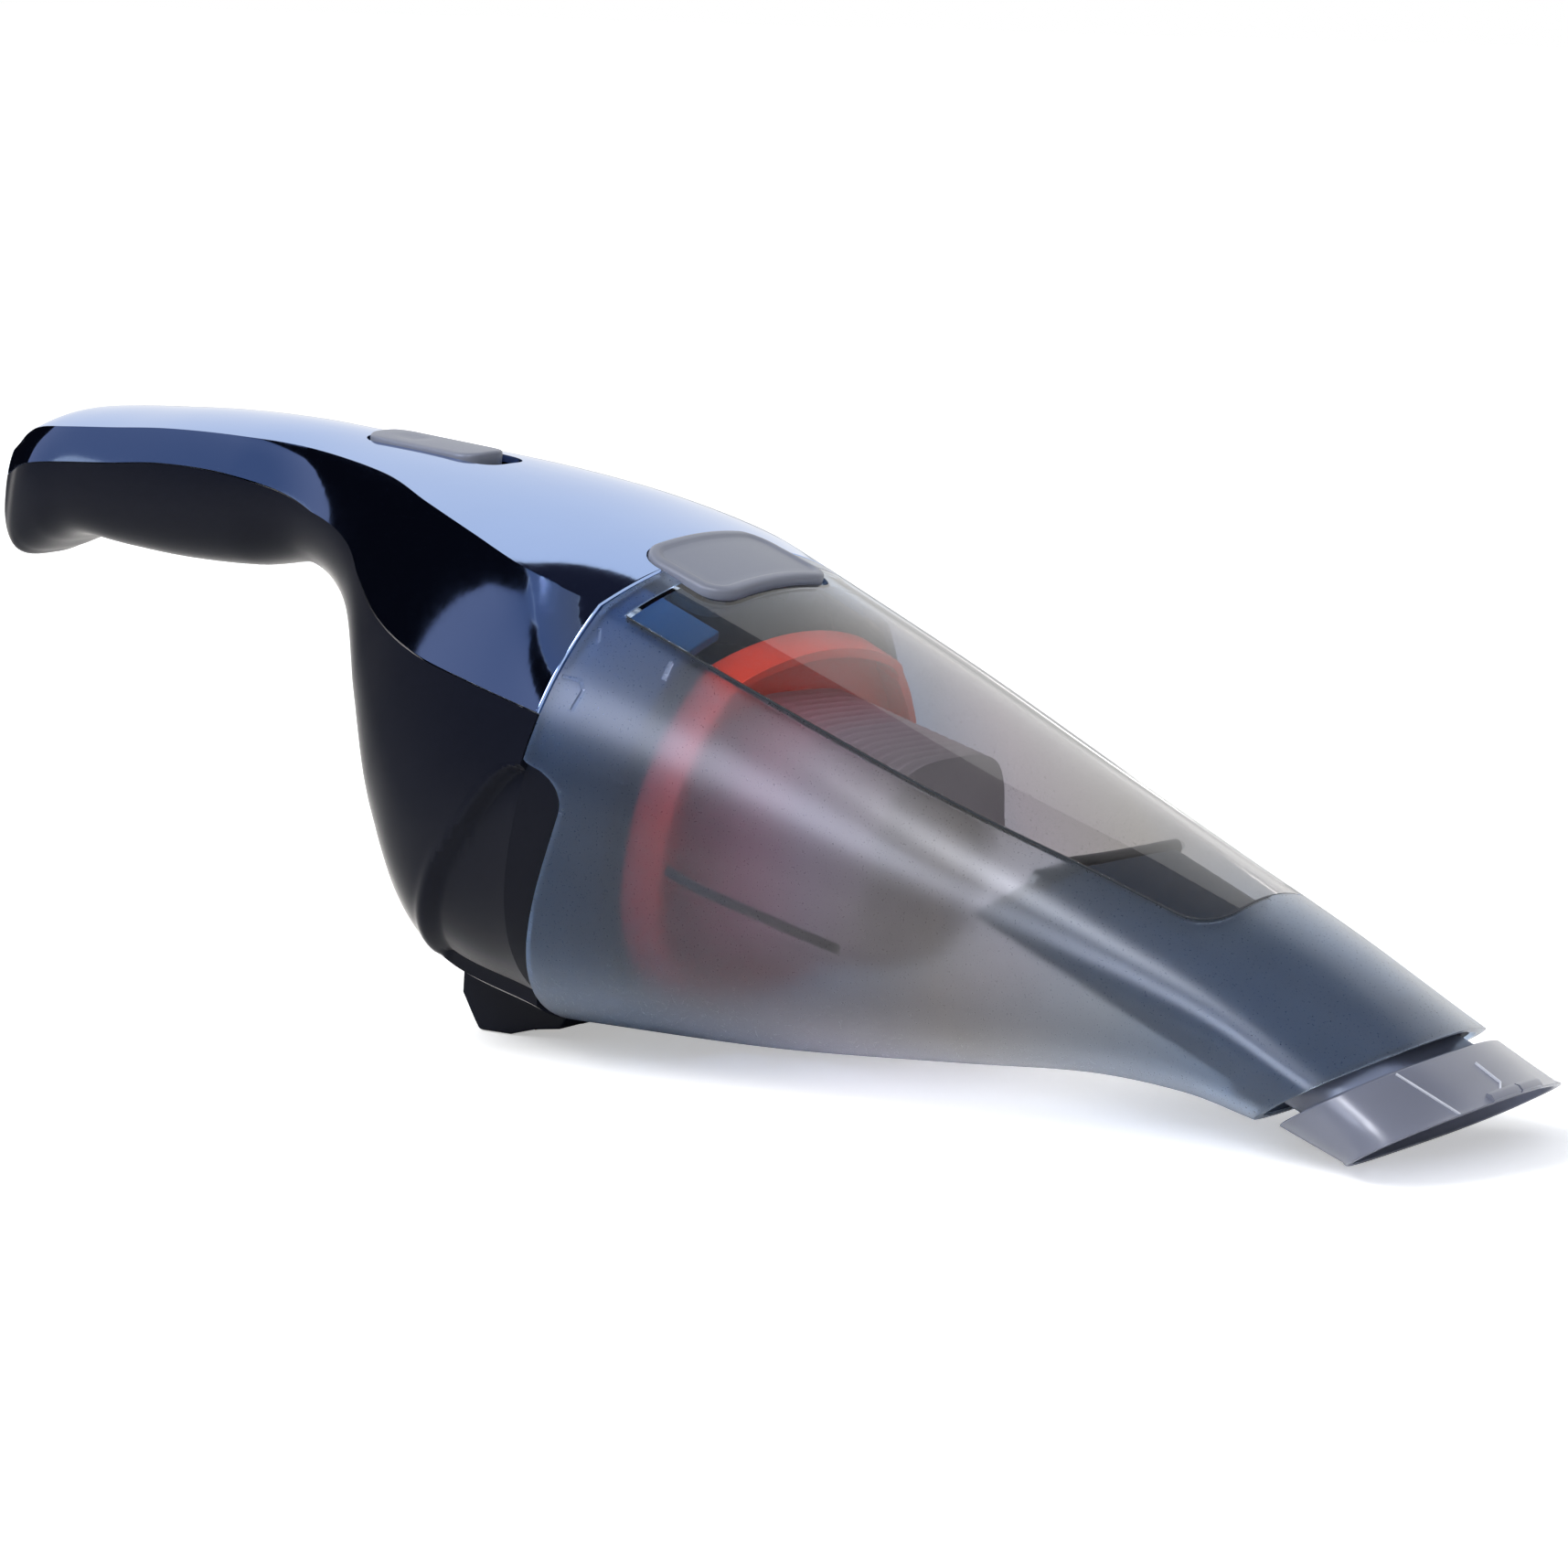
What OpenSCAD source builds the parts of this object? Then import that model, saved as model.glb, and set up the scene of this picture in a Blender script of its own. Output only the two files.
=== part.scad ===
// Cordless handheld vacuum: handle and motor pod, pull-off dust bowl, pull-out crevice nozzle.
// +X points forward to the nozzle, +Y to the left, +Z up. The origin is the middle of the
// foot's flat underside, so the foot and the nozzle lip both rest on z = 0.

/* [Handle] */
// Length from the handle root to the heel
handle_len = 115; // [100:1:125]
// Width of the handle
handle_w = 44; // [42:1:48]
// Depth of the handle, top to finger hollow
handle_h = 34; // [32:1:38]
// Height of the handle's crest above the ground
handle_top = 137; // [130:1:145]
// Where the handle meets the pod, behind the foot
root_x = -43.5; // [-50:0.5:-38]

/* [Motor pod] */
// Width of the pod at the bowl joint
pod_w = 124; // [116:1:132]
// Top of the bowl joint, forward of the foot
joint_top_x = 51.5; // [48:0.5:56]
// Top of the bowl joint, above the ground
joint_top_z = 114; // [108:1:120]
// Bottom of the bowl joint, forward of the foot
joint_low_x = 23.5; // [20:0.5:27]
// Bottom of the bowl joint, above the ground
joint_low_z = 4; // [3:0.5:6]
// Wall of the two housing halves
housing_wall = 2.4; // [2:0.1:2.8]
// Wall of the plated top cover
cover_wall = 1.8; // [1.5:0.1:2.2]
// Depth of the grip scoop in each side of the pod
scoop_depth = 2.7; // [2:0.1:3.2]

/* [Bowl] */
// Top of the bowl mouth, forward of the foot
mouth_top_x = 242.5; // [236:0.5:248]
// Top of the bowl mouth, above the ground
mouth_top_z = 26.5; // [25:0.5:28]
// Bottom of the bowl mouth, forward of the foot
mouth_low_x = 207; // [202:0.5:211]
// Bottom of the bowl mouth, above the ground
mouth_low_z = 6.5; // [6:0.5:8]
// Width of the bowl mouth
mouth_w = 70; // [68:1:74]
// Wall of the bowl and of its window
bowl_wall = 2.2; // [1.8:0.1:2.6]
// Gap between the pod and the bowl at the joint
joint_gap = 0.4; // [0.3:0.1:0.8]
// How far the collar reaches into the bowl
collar_len = 23; // [19:0.5:25]
// Gap between the collar and the bowl
collar_gap = 0.5; // [0.4:0.1:0.8]

/* [Nozzle] */
// Slope of the nozzle's slide, below level
nozzle_slope = 23; // [20:1:26]
// Width of the nozzle's lip
lip_w = 72; // [68:1:76]
// Length of the nozzle head along its slide
head_len = 18; // [15:0.5:18.4]
// Neck that shows between the bowl mouth and the nozzle head
neck_len = 4; // [3:0.5:6]
// Length of the nozzle's tube inside the duct
tube_len = 62; // [58:1:66]
// Width of the nozzle's tube
tube_w = 56; // [52:1:58]
// Thickness of the nozzle's tube
tube_h = 19; // [17:0.5:20]
// Wall of the nozzle and of the duct
nozzle_wall = 1.8; // [1.5:0.1:2]
// Gap between the nozzle's tube and the duct
slide_gap = 0.4; // [0.3:0.1:0.6]

/* [Filter] */
// Radius of the filter's round neck
neck_r = 32; // [30:0.5:33]
// Length of the filter's neck
filter_neck_len = 8; // [6:0.5:9]
// Width of the filter's rim band
rim_len = 9; // [7:0.5:11]
// Gap between the filter's rim and the bowl
rim_gap = 6.6; // [6:0.1:7]
// Wall of the filter frame
frame_wall = 2; // [1.6:0.1:2.4]
// Length of the pleated filter
pleat_len = 44; // [38:1:46]
// Number of pleats along the filter
pleat_count = 16; // [10:1:18]
// Depth of one pleat
pleat_depth = 1.6; // [1:0.1:2]

/* [Motor and fan] */
// Diameter of the motor can
motor_d = 27.7; // [24:0.1:30]
// Length of the motor can
motor_len = 37.8; // [34:0.1:40]
// Diameter of the motor shaft
shaft_d = 2.3; // [2:0.1:3.2]
// Running clearance of the shaft in its bearing, on the radius
shaft_clearance = 0.05; // [0.02:0.01:0.09]
// Diameter of the fan
fan_d = 66; // [60:1:70]
// Depth of the fan
fan_h = 12; // [10:0.5:13]
// Number of fan blades
fan_blades = 9; // [7:1:11]
// Wall of the fan housing
fan_wall = 2; // [1.6:0.1:2.4]
// Air gap around the fan
fan_gap = 1.5; // [1:0.1:2.5]
// Thickness of the bulkhead
bulkhead_t = 3; // [2.5:0.1:3.5]

/* [Battery and switch] */
// Diameter of one cell
cell_d = 18.4; // [17.8:0.1:18.6]
// Length of one cell
cell_len = 65; // [64:0.5:66]
// Downward tilt of the front cell
cell_tilt = 7; // [6:1:8]
// Length of the power switch's thumb plate
switch_len = 33; // [28:1:35]
// Width of the power switch's thumb plate
switch_w = 15; // [13:0.5:16]
// Travel of the power switch
switch_travel = 5; // [3:0.5:6]
// Length of the release button
button_len = 25; // [23:0.5:27]
// Width of the release button
button_w = 44; // [41:0.5:45]
// Travel of the release button
button_travel = 2.5; // [1.5:0.5:3]

/* [Foot] */
// Length of the foot's flat underside
foot_len = 9; // [8:0.5:12]
// Width of the foot
foot_w = 40; // [34:1:46]

/* [Hidden] */
$fn = 48;
// Gap between parts that only lie side by side
seat_gap = 0.3;

// ---- Outline ----
// A section is cut by a plane through a top point and a bottom point of the side view:
// [top x, top z, bottom x, bottom z, crease half width, crown height, half width,
//  share of the depth where it is widest, roundness, depth that the top cover reaches]
belly_setback = 6;
belly_x = root_x - belly_setback;

function lerp(a, b, t) = a + (b - a) * t;

function handle_row(along, drop, lean, depth, width, crease, crown, roundness, cover) =
    let(x = root_x - along * handle_len, z = handle_top - drop)
    [x, z, x - lean, z - depth * handle_h, crease * handle_w / 2, crown, width * handle_w / 2,
     0.5, roundness, cover];

function pod_row(top_x, top_z, low_x, low_z, crease, crown, width, widest, roundness, cover) =
    [lerp(root_x, joint_top_x, top_x), lerp(handle_top, joint_top_z, top_z),
     lerp(belly_x, joint_low_x, low_x), lerp(handle_top - handle_h, joint_low_z, low_z),
     crease * pod_w / 2, crown, width * pod_w / 2, widest, roundness, cover];

function bowl_row(top_x, top_z, low_x, rise, crease, crown, taper, roundness) =
    let(half = lerp(pod_w, mouth_w, taper) / 2)
    [lerp(joint_top_x, mouth_top_x, top_x), lerp(joint_top_z, mouth_top_z, top_z),
     lerp(joint_low_x, mouth_low_x, low_x), lerp(joint_low_z, mouth_low_z, low_x) + rise,
     crease * half, crown, half, 0.5, roundness, 0];

body_rows = [
    handle_row(1.00, 12.0, 1.0, 0.51, 0.65, 0.58, 2.5, 3.0, 7.0),
    handle_row(0.95, 8.0, 5.0, 0.89, 0.73, 0.65, 3.0, 3.0, 9.5),
    handle_row(0.90, 4.3, 6.0, 0.98, 0.86, 0.75, 3.1, 3.0, 11.2),
    handle_row(0.845, 2.0, 4.0, 0.955, 0.95, 0.85, 3.3, 3.0, 12.0),
    handle_row(0.76, 1.0, 4.0, 0.92, 0.97, 0.93, 3.5, 3.0, 12.2),
    handle_row(0.635, 0.4, 3.0, 0.99, 0.99, 0.94, 3.4, 2.9, 12.0),
    handle_row(0.475, 0.0, 4.0, 1.05, 1.00, 0.92, 3.0, 2.7, 11.4),
    handle_row(0.29, 0.6, 5.5, 1.04, 0.98, 0.87, 2.9, 2.6, 12.2),
    handle_row(0.10, 2.3, 6.5, 0.95, 0.955, 0.82, 2.9, 2.5, 15.5),
    pod_row(0.18, 0.22, 0.07, 0.12, 0.40, 3.8, 0.47, 0.5, 2.4, 24),
    pod_row(0.40, 0.35, 0.21, 0.385, 0.55, 5.4, 0.635, 0.6, 2.3, 33.8),
    pod_row(0.60, 0.52, 0.34, 0.665, 0.66, 6.5, 0.79, 0.6, 2.2, 36.3),
    pod_row(0.81, 0.76, 0.57, 0.90, 0.73, 7.5, 0.92, 0.6, 2.2, 34.5),
    pod_row(1, 1, 1, 1, 0.685, 8.3, 1, 0.5, 2.3, 32.2)
];
joint_s = len(body_rows) - 1;

bowl_rows = [
    bowl_row(0, 0, 0, 0, 0.685, 8.3, 0, 2.3),
    bowl_row(0.227, 0.214, 0.30, -0.6, 0.72, 8.0, 0.296, 2.3),
    bowl_row(0.442, 0.425, 0.56, 1.6, 0.707, 7.1, 0.567, 2.4),
    bowl_row(0.647, 0.614, 0.76, 3.6, 0.635, 5.9, 0.837, 2.5),
    bowl_row(0.834, 0.797, 0.90, 2.7, 0.55, 4.7, 0.98, 2.8),
    bowl_row(1, 1, 1, 0, 0.486, 4.0, 1, 3.0)
];
mouth_s = len(bowl_rows) - 1;

// A row that runs on past either end of a table
function row_or_end(rows, i) = i < 0 ? 2 * rows[0] - rows[1]
    : i > len(rows) - 1 ? 2 * rows[len(rows) - 1] - rows[len(rows) - 2] : rows[i];

// Section s of a table, on a smooth curve through its rows (Catmull-Rom)
function row_at(rows, s) = let(i = min(max(floor(s), 0), len(rows) - 2), t = s - i,
    a = row_or_end(rows, i - 1), b = rows[i], c = rows[i + 1], d = row_or_end(rows, i + 2))
    0.5 * (2 * b + t * (c - a) + t * t * (2 * a - 5 * b + 4 * c - d)
        + t * t * t * (3 * b - a - 3 * c + d));

function row_depth(r) = norm([r[2] - r[0], r[3] - r[1]]);

// Point [across, down] on half a section, moved inwards by inset: u 0 to 1 is the crowned top,
// 1 to 2 the upper side out to the widest point, 2 to 3 the lower side in to the bottom centre
crease_inset = 0.7;
// How round the upper side is: 0 starts as steep as it can, so that the crease is sharpest
side_round = 0.38;

function half_point(r, u, inset = 0) =
    let(deep = row_depth(r), mid = r[7] * deep, crease = r[4] - crease_inset * inset,
        crown = r[5] + inset, half = r[6] - inset)
    u <= 1 ? [r[4] * u - crease_inset * inset * pow(u, 6), inset + r[5] * u * u]
    : u <= 2 ? let(t = u - 1)
        [crease + (half - crease) * sin(90 * t), crown + (mid - crown) * t * (1 - side_round * (1 - t))]
    : let(q = 90 * (u - 2), k = 2 / r[8])
        [half * pow(cos(q), k), mid + (deep - inset - mid) * pow(sin(q), k)];

// Where the outline reaches a given depth on the upper side
function u_at_depth(r, depth) =
    let(share = min(max((depth - r[5]) / (r[7] * row_depth(r) - r[5]), 0), 1), k = 1 - side_round)
    1 + (sqrt(k * k + 4 * side_round * share) - k) / (2 * side_round);

// A point of the section plane in space; side is -1 for the right, 1 for the left
function in_space(r, p, side) = let(deep = row_depth(r))
    [r[0] + (r[2] - r[0]) * p[1] / deep, side * p[0], r[1] + (r[3] - r[1]) * p[1] / deep];

function on_row(r, u, inset) = in_space(r, half_point(r, abs(u), inset), u < 0 ? -1 : 1);

// ---- Solids from grids ----
function flat(lists) = [for (l = lists) each l];

// Walled shell between an outer and an inner grid. Cells that are_open() names are left
// out, and every edge that they leave is closed by a wall. wrap joins the last column to
// the first.
module shell(outer, inner, wrap = false, is_open = function(i, j) false) {
    n = len(outer);
    m = len(outer[0]);
    cols = wrap ? m : m - 1;
    jm = function(j) wrap ? (j + m) % m : j;
    kept = function(i, j) i >= 0 && i < n - 1 && (wrap || (j >= 0 && j < cols)) && !is_open(i, jm(j));
    o = function(i, j) i * m + jm(j);
    k = function(i, j) n * m + i * m + jm(j);
    quad = function(a, b, c, d) [[a, b, c], [a, c, d]];
    faces = [for (i = [0:n - 2], j = [0:cols - 1]) if (kept(i, j)) each concat(
        quad(o(i, j), o(i + 1, j), o(i + 1, j + 1), o(i, j + 1)),
        quad(k(i, j), k(i, j + 1), k(i + 1, j + 1), k(i + 1, j)),
        kept(i, j - 1) ? [] : quad(o(i + 1, j), o(i, j), k(i, j), k(i + 1, j)),
        kept(i + 1, j) ? [] : quad(o(i + 1, j + 1), o(i + 1, j), k(i + 1, j), k(i + 1, j + 1)),
        kept(i, j + 1) ? [] : quad(o(i, j + 1), o(i + 1, j + 1), k(i + 1, j + 1), k(i, j + 1)),
        kept(i - 1, j) ? [] : quad(o(i, j), o(i, j + 1), k(i, j + 1), k(i, j)))];
    polyhedron(flat(concat(outer, inner)), faces, convexity = 6);
}

// ---- Frames ----
joint_c = [joint_top_x + joint_low_x, joint_top_z + joint_low_z] / 2;
joint_lean = atan2(joint_top_x - joint_low_x, joint_top_z - joint_low_z);
joint_half = row_depth(bowl_rows[0]) / 2;

// Motor frame: +X forward along the motor, origin in the middle of the bowl joint
module at_joint() translate([joint_c[0], 0, joint_c[1]]) rotate([0, joint_lean, 0]) children();

// Round parts along +X
module rod_x(r, from, to) translate([from, 0, 0]) rotate([0, 90, 0]) cylinder(r = r, h = to - from);

module ring_x(r_out, r_in, from, to) difference() {
    rod_x(r_out, from, to);
    rod_x(r_in, from - 1, to + 1);
}

// ---- Where the switch and the button break through the cover ----
button_gap = 0.6;
switch_gap = 0.5;
button_tilt = (atan2(body_rows[joint_s - 1][1] - joint_top_z, joint_top_x - body_rows[joint_s - 1][0])
    + atan2(joint_top_z - bowl_rows[1][1], bowl_rows[1][0] - joint_top_x)) / 2;
button_ahead = 3.7;
button_x = joint_top_x + button_ahead;
button_sunk = 0.2;
button_z = joint_top_z - button_ahead * tan(button_tilt) - button_sunk;
button_cut = button_len / 2 + button_gap;
// Section numbers where the button's cut-out starts and ends
cut_back_s = joint_s - 1 + (button_x - button_cut * cos(button_tilt) - body_rows[joint_s - 1][0])
    / (joint_top_x - body_rows[joint_s - 1][0]);
cut_front_s = (button_x + button_cut * cos(button_tilt) - joint_top_x) / (bowl_rows[1][0] - joint_top_x);
cut_half = button_w / 2 + button_gap;

switch_row = joint_s - 5;
switch_back_x = body_rows[switch_row][0] + 5;
slot_back_s = switch_row + 5 / (body_rows[switch_row + 1][0] - body_rows[switch_row][0]);
slot_len = switch_len + switch_travel + 2 * switch_gap;
slot_front_x = switch_back_x + slot_len;
slot_front_s = switch_row + 1 + (slot_front_x - body_rows[switch_row + 1][0])
    / (body_rows[switch_row + 2][0] - body_rows[switch_row + 1][0]);
slot_half = switch_w / 2 + switch_gap;
// Section numbers shared by the cover and the housing, so that their edges run together
shared_s = concat([for (s = [0:0.5:switch_row]) s],
    [slot_back_s, (slot_back_s + slot_front_s) / 2, slot_front_s],
    [for (s = [switch_row + 2:0.5:joint_s - 2]) s]);

// ---- Housing, in two halves ----
handle_u_steps = 4;
lower_u_steps = 9;
seam = 0.3;

// The scoop's rear edge runs from the joint down to the belly, as section numbers
function scoop_edge(deep_share) = deep_share < 0.39 || deep_share > 0.93 ? joint_s + 1
    : deep_share < 0.62 ? lerp(joint_s - 0.05, joint_s - 0.72, sqrt((deep_share - 0.39) / 0.23))
    : lerp(joint_s - 0.72, joint_s - 0.95, (deep_share - 0.62) / 0.31);

scoop_lip = 0.04;
rows_behind_scoop = concat(shared_s, [joint_s - 1.5, joint_s - 1.2]);

// Section numbers of one column of the housing: even rows up to the scoop, then its edge
function column_s(share) = let(e = min(scoop_edge(share), joint_s - 0.08))
    concat(rows_behind_scoop, [e - scoop_lip, e + scoop_lip, lerp(e + scoop_lip, joint_s, 0.5), joint_s]);

function housing_grid(depth_in) = let(
    lead = 0.4,
    shares = [for (j = [0:handle_u_steps + lower_u_steps]) j],
    u_of = function(r, j) let(u0 = u_at_depth(r, r[9] + seam / 2))
        j < handle_u_steps ? lerp(u0, 2, j / handle_u_steps) : 2 + (j - handle_u_steps) / lower_u_steps,
    joint_row = body_rows[joint_s],
    share_of = function(j) half_point(joint_row, u_of(joint_row, j))[1] / row_depth(joint_row),
    cols = [for (j = shares) column_s(share_of(j))],
    heel = function(s) depth_in > 0 ? max(s, lead + (1 - lead) * s) : s,
    grid = [for (i = [0:len(cols[0]) - 1]) [for (j = shares)
        let(s = cols[j][i], t = s < 1 ? heel(s) : s, r = row_at(body_rows, t),
            sunk = s > scoop_edge(share_of(j)) ? scoop_depth : 0)
        on_row(r, -u_of(r, j), depth_in + sunk)]],
    r0 = row_at(body_rows, heel(0)),
    cap = [for (j = shares) in_space(r0, [0, half_point(r0, u_of(r0, j), depth_in)[1]], 1)])
    concat([cap], grid);

vent_count = 5;
vent_h = 2.4;
vent_from_y = 8;
vent_to_y = 24;
vent_cut = 16;

// Exhaust slots, low on the back of the pod
module exhaust_slots() for (k = [0:vent_count - 1])
    let(a = body_rows[joint_s - 3], b = body_rows[joint_s - 2], t = lerp(0.1, 0.95, k / (vent_count - 1)))
        translate([lerp(a[2], b[2], t) - vent_cut / 2, -vent_to_y, lerp(a[3], b[3], t) - vent_h / 2])
            cube([vent_cut, vent_to_y - vent_from_y, vent_h]);

module housing_half() difference() {
    shell(housing_grid(0), housing_grid(housing_wall));
    exhaust_slots();
}

module housing_right() color("#1d2533") housing_half();

module housing_left() color("#1d2533") mirror([0, 1, 0]) housing_half();

// ---- Top cover ----
cover_s = concat(shared_s, [joint_s - 1.5, joint_s - 1, cut_back_s, joint_s]);
cover_slot_i = switch_row * 2 + 2;
cover_cut_i = len(cover_s) - 1;

// Signed column positions of the cover's half section, crown first
function cover_u(r, s) = let(
    mix = min(max((s - slot_front_s) / (cut_back_s - slot_front_s), 0), 1),
    inner = lerp(slot_half, cut_half, mix) / r[4],
    edge = u_at_depth(r, r[9] - seam / 2))
    [0, inner, lerp(inner, 1, 0.5), 1, for (k = [1:5]) lerp(1, edge, k / 5)];

function cover_grid(depth_in) = let(
    lead = 0.35,
    rows = [for (s = cover_s) let(t = s < 1 && depth_in > 0 ? max(s, lead + (1 - lead) * s) : s,
        r = row_at(body_rows, t), us = cover_u(r, s), m = len(us) - 1)
        concat([for (k = [m:-1:1]) on_row(r, us[k], depth_in)], [for (k = [0:m]) on_row(r, -us[k], depth_in)])],
    t0 = depth_in > 0 ? lead : 0,
    r0 = row_at(body_rows, t0),
    low = in_space(r0, [0, r0[9] - seam], 1),
    cap = [for (p = rows[0]) [low[0], 0.9 * p[1], low[2]]])
    concat([cap], rows);

module top_cover() color("#5d7fd0") shell(cover_grid(0), cover_grid(cover_wall), is_open = function(i, j)
    let(c = abs(j - 7.5)) (c < 1 && i >= cover_slot_i && i < cover_slot_i + 2)
        || (c < 1 && i >= cover_cut_i));

// ---- Bowl, window and collar ----
bowl_pitch = norm([bowl_rows[1][0] + bowl_rows[1][2] - bowl_rows[0][0] - bowl_rows[0][2],
    bowl_rows[1][1] + bowl_rows[1][3] - bowl_rows[0][1] - bowl_rows[0][3]]) / 2;
gap_s = joint_gap / bowl_pitch;
window_back_s = 0.12;
window_front_s = 3.6;
scallop_end_s = 0.7;
window_edge = 0.3;
bowl_s = concat([gap_s, window_back_s, cut_front_s, scallop_end_s], [for (s = [1.05:0.42:3.2]) s],
    [window_front_s, 3.9, 4.2, 4.6, mouth_s]);
window_back_i = 1;
window_front_i = len(bowl_s) - 5;
// Places down the upper side, which crowd together where the scallop turns
upper_at = [0.2, 0.4, 0.6, 0.77, 0.8, 0.84, 0.9, 1];
upper_steps = len(upper_at);
lower_steps = 8;

// Half-section positions: centre, edge of the button's cut-out, crease, then the sides
function bowl_u(r) = [0, min(0.62, cut_half / r[4]), 1, for (k = upper_at) 1 + k,
    for (k = [1:lower_steps]) 2 + k / lower_steps];

// How far the bowl's rear edge is cut back in a finger scallop on each side
function scallop(share) = share < 0.378 ? 0
    : share < 0.43 ? 0.235 * sqrt((share - 0.378) / 0.052) : 0.235 * (1 - pow((share - 0.43) / 0.57, 1.4));

function bowl_column_s(share, i) = bowl_s[i] >= scallop_end_s ? bowl_s[i]
    : lerp(gap_s + scallop(share), scallop_end_s, (bowl_s[i] - gap_s) / (scallop_end_s - gap_s));

// Ring of points round a section: right side down, then left side up
function ring(r, us, inset) = let(m = len(us) - 1)
    concat([for (k = [0:m]) on_row(r, -us[k], inset)], [for (k = [m - 1:-1:1]) on_row(r, us[k], inset)]);

function bowl_grid(inset) = let(r0 = bowl_rows[0], us0 = bowl_u(r0), m = len(us0) - 1,
    order = concat([for (k = [0:m]) -k], [for (k = [m - 1:-1:1]) k]))
    [for (i = [0:len(bowl_s) - 1]) [for (c = order)
        let(k = abs(c), share = half_point(r0, us0[k])[1] / row_depth(r0),
            r = row_at(bowl_rows, bowl_column_s(share, i)), u = bowl_u(r)[k])
        on_row(r, c > 0 ? u : -u, inset)]];

ring_cols = 2 * (2 + upper_steps + lower_steps);

module dust_bowl() color("#8193ad", 0.5)
    shell(bowl_grid(0), bowl_grid(bowl_wall), wrap = true, is_open = function(i, j)
        ((j < 2 || j >= ring_cols - 2) && i >= window_back_i && i < window_front_i)
        || ((j < 1 || j >= ring_cols - 1) && i < window_back_i));

function window_grid(inset) = let(last = window_front_i)
    [for (i = [window_back_i:last]) let(
        nudge = window_edge / bowl_pitch * (i == window_back_i ? 1 : i == last ? -1 : 0),
        r = row_at(bowl_rows, bowl_s[i] + nudge), side = 1 - window_edge / r[4],
        cut = bowl_u(r)[1] + (i <= window_back_i + 1 ? window_edge / r[4] : 0))
        [for (u = [side, cut, 0, -cut, -side]) on_row(r, u, inset)]];

module bowl_window() color("#d6d8da", 0.35)
    shell(window_grid(0), window_grid(bowl_wall), is_open = function(i, j) i < 1 && (j == 1 || j == 2));

collar_wall = 2.2;
collar_inset = bowl_wall + collar_gap;
collar_from = 0.2;

// Ring inside the bowl, x forward of the joint
function bowl_ring(x, inset) = let(r = row_at(bowl_rows, x / bowl_pitch)) ring(r, bowl_u(r), inset);

function collar_grid(inset) = [for (x = [collar_from, collar_len / 2, collar_len]) bowl_ring(x, inset)];

module front_collar() color("#1d2533")
    shell(collar_grid(collar_inset), collar_grid(collar_inset + collar_wall), wrap = true,
        is_open = function(i, j) j < 1 || j >= ring_cols - 1);

// ---- Release button, its spring and tray ----
crown_r = body_rows[joint_s][4] * body_rows[joint_s][4] / (2 * body_rows[joint_s][5]);

// Button frame: +X forward down the crest, +Z square to it, origin on the crest
module at_button() translate([button_x, 0, button_z]) rotate([0, button_tilt, 0]) children();

module rounded(length, width, corner) {
    square([length - 2 * corner, width], center = true);
    square([length, width - 2 * corner], center = true);
    for (sx = [-1, 1], sy = [-1, 1])
        translate([sx * (length / 2 - corner), sy * (width / 2 - corner)]) circle(corner);
}

// Plate with rounded corners whose two faces follow the crown of the cover
module crowned(length, width, corner, top, bottom, bend) difference() {
    intersection() {
        translate([0, 0, bottom - bend / 4]) linear_extrude(top - bottom + bend / 2) rounded(length, width, corner);
        translate([0, 0, -bend]) rod_x(bend + top, -length, length);
    }
    translate([0, 0, -bend]) rod_x(bend + bottom, -length, length);
}

plate_t = 3;
button_proud = 1.2;
button_under = button_proud - plate_t;
tray_top = button_under - button_travel - 0.5;
tray_t = 2;
pin_r = 2;
pin_y = 15;
pin_clearance = 0.05;
pin_len = button_travel + 5;
hook_back = 5;
hook_x = button_len / 2 - hook_back;
hook_t = 3;
hook_w = 12;
spring_x = -6;
spring_r = 3;
cup_depth = 6;
spring_wire_r = 0.35;
sink = 0.6;

module release_button() color("#9a9da3") at_button() {
    crowned(button_len, button_w, 7, button_proud, button_under, crown_r);
    for (y = [-pin_y, pin_y]) translate([0, y, button_under - pin_len]) cylinder(r = pin_r, h = pin_len + 0.2);
    translate([hook_x, 0, button_under - pin_len / 2 + sink / 2])
        cube([hook_t, hook_w, pin_len + sink], center = true);
    translate([hook_x + hook_t, 0, button_under - pin_len + 1]) cube([hook_t, hook_w, 2], center = true);
}

module latch_tray() color("#2a3242") at_button() difference() {
    union() {
        crowned(button_len - 2, button_w - 1, 6, tray_top, tray_top - tray_t, crown_r);
        translate([spring_x, 0, tray_top - cup_depth]) cylinder(r = spring_r + 2.2, h = cup_depth - tray_t / 2);
        for (y = [-pin_y, pin_y]) translate([0, y, tray_top - cup_depth]) cylinder(r = pin_r + 2, h = cup_depth - tray_t);
    }
    translate([spring_x, 0, tray_top - cup_depth + 1]) cylinder(r = spring_r + 1, h = cup_depth + 1);
    for (y = [-pin_y, pin_y])
        translate([0, y, tray_top - 2 * cup_depth]) cylinder(r = pin_r + pin_clearance, h = 3 * cup_depth);
    translate([hook_x + hook_t / 2, 0, tray_top])
        cube([2 * hook_t + 1, hook_w + 1, 4 * tray_t], center = true);
}

// Helix: rings of wire points carried round and up
module release_spring() color("#c4c6c8") at_button() {
    low = tray_top - cup_depth + 1 + spring_wire_r + 0.1;
    high = button_under - spring_wire_r - 0.1;
    turns = 4;
    per_turn = 12;
    n = turns * per_turn;
    rings = [for (i = [0:n]) let(a = 360 * i / per_turn, z = lerp(low, high, i / n))
        [for (k = [5:-1:0]) let(w = spring_r + spring_wire_r * cos(60 * k))
            [spring_x + w * cos(a), w * sin(a), z + spring_wire_r * sin(60 * k)]]];
    loft(rings);
}

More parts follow.
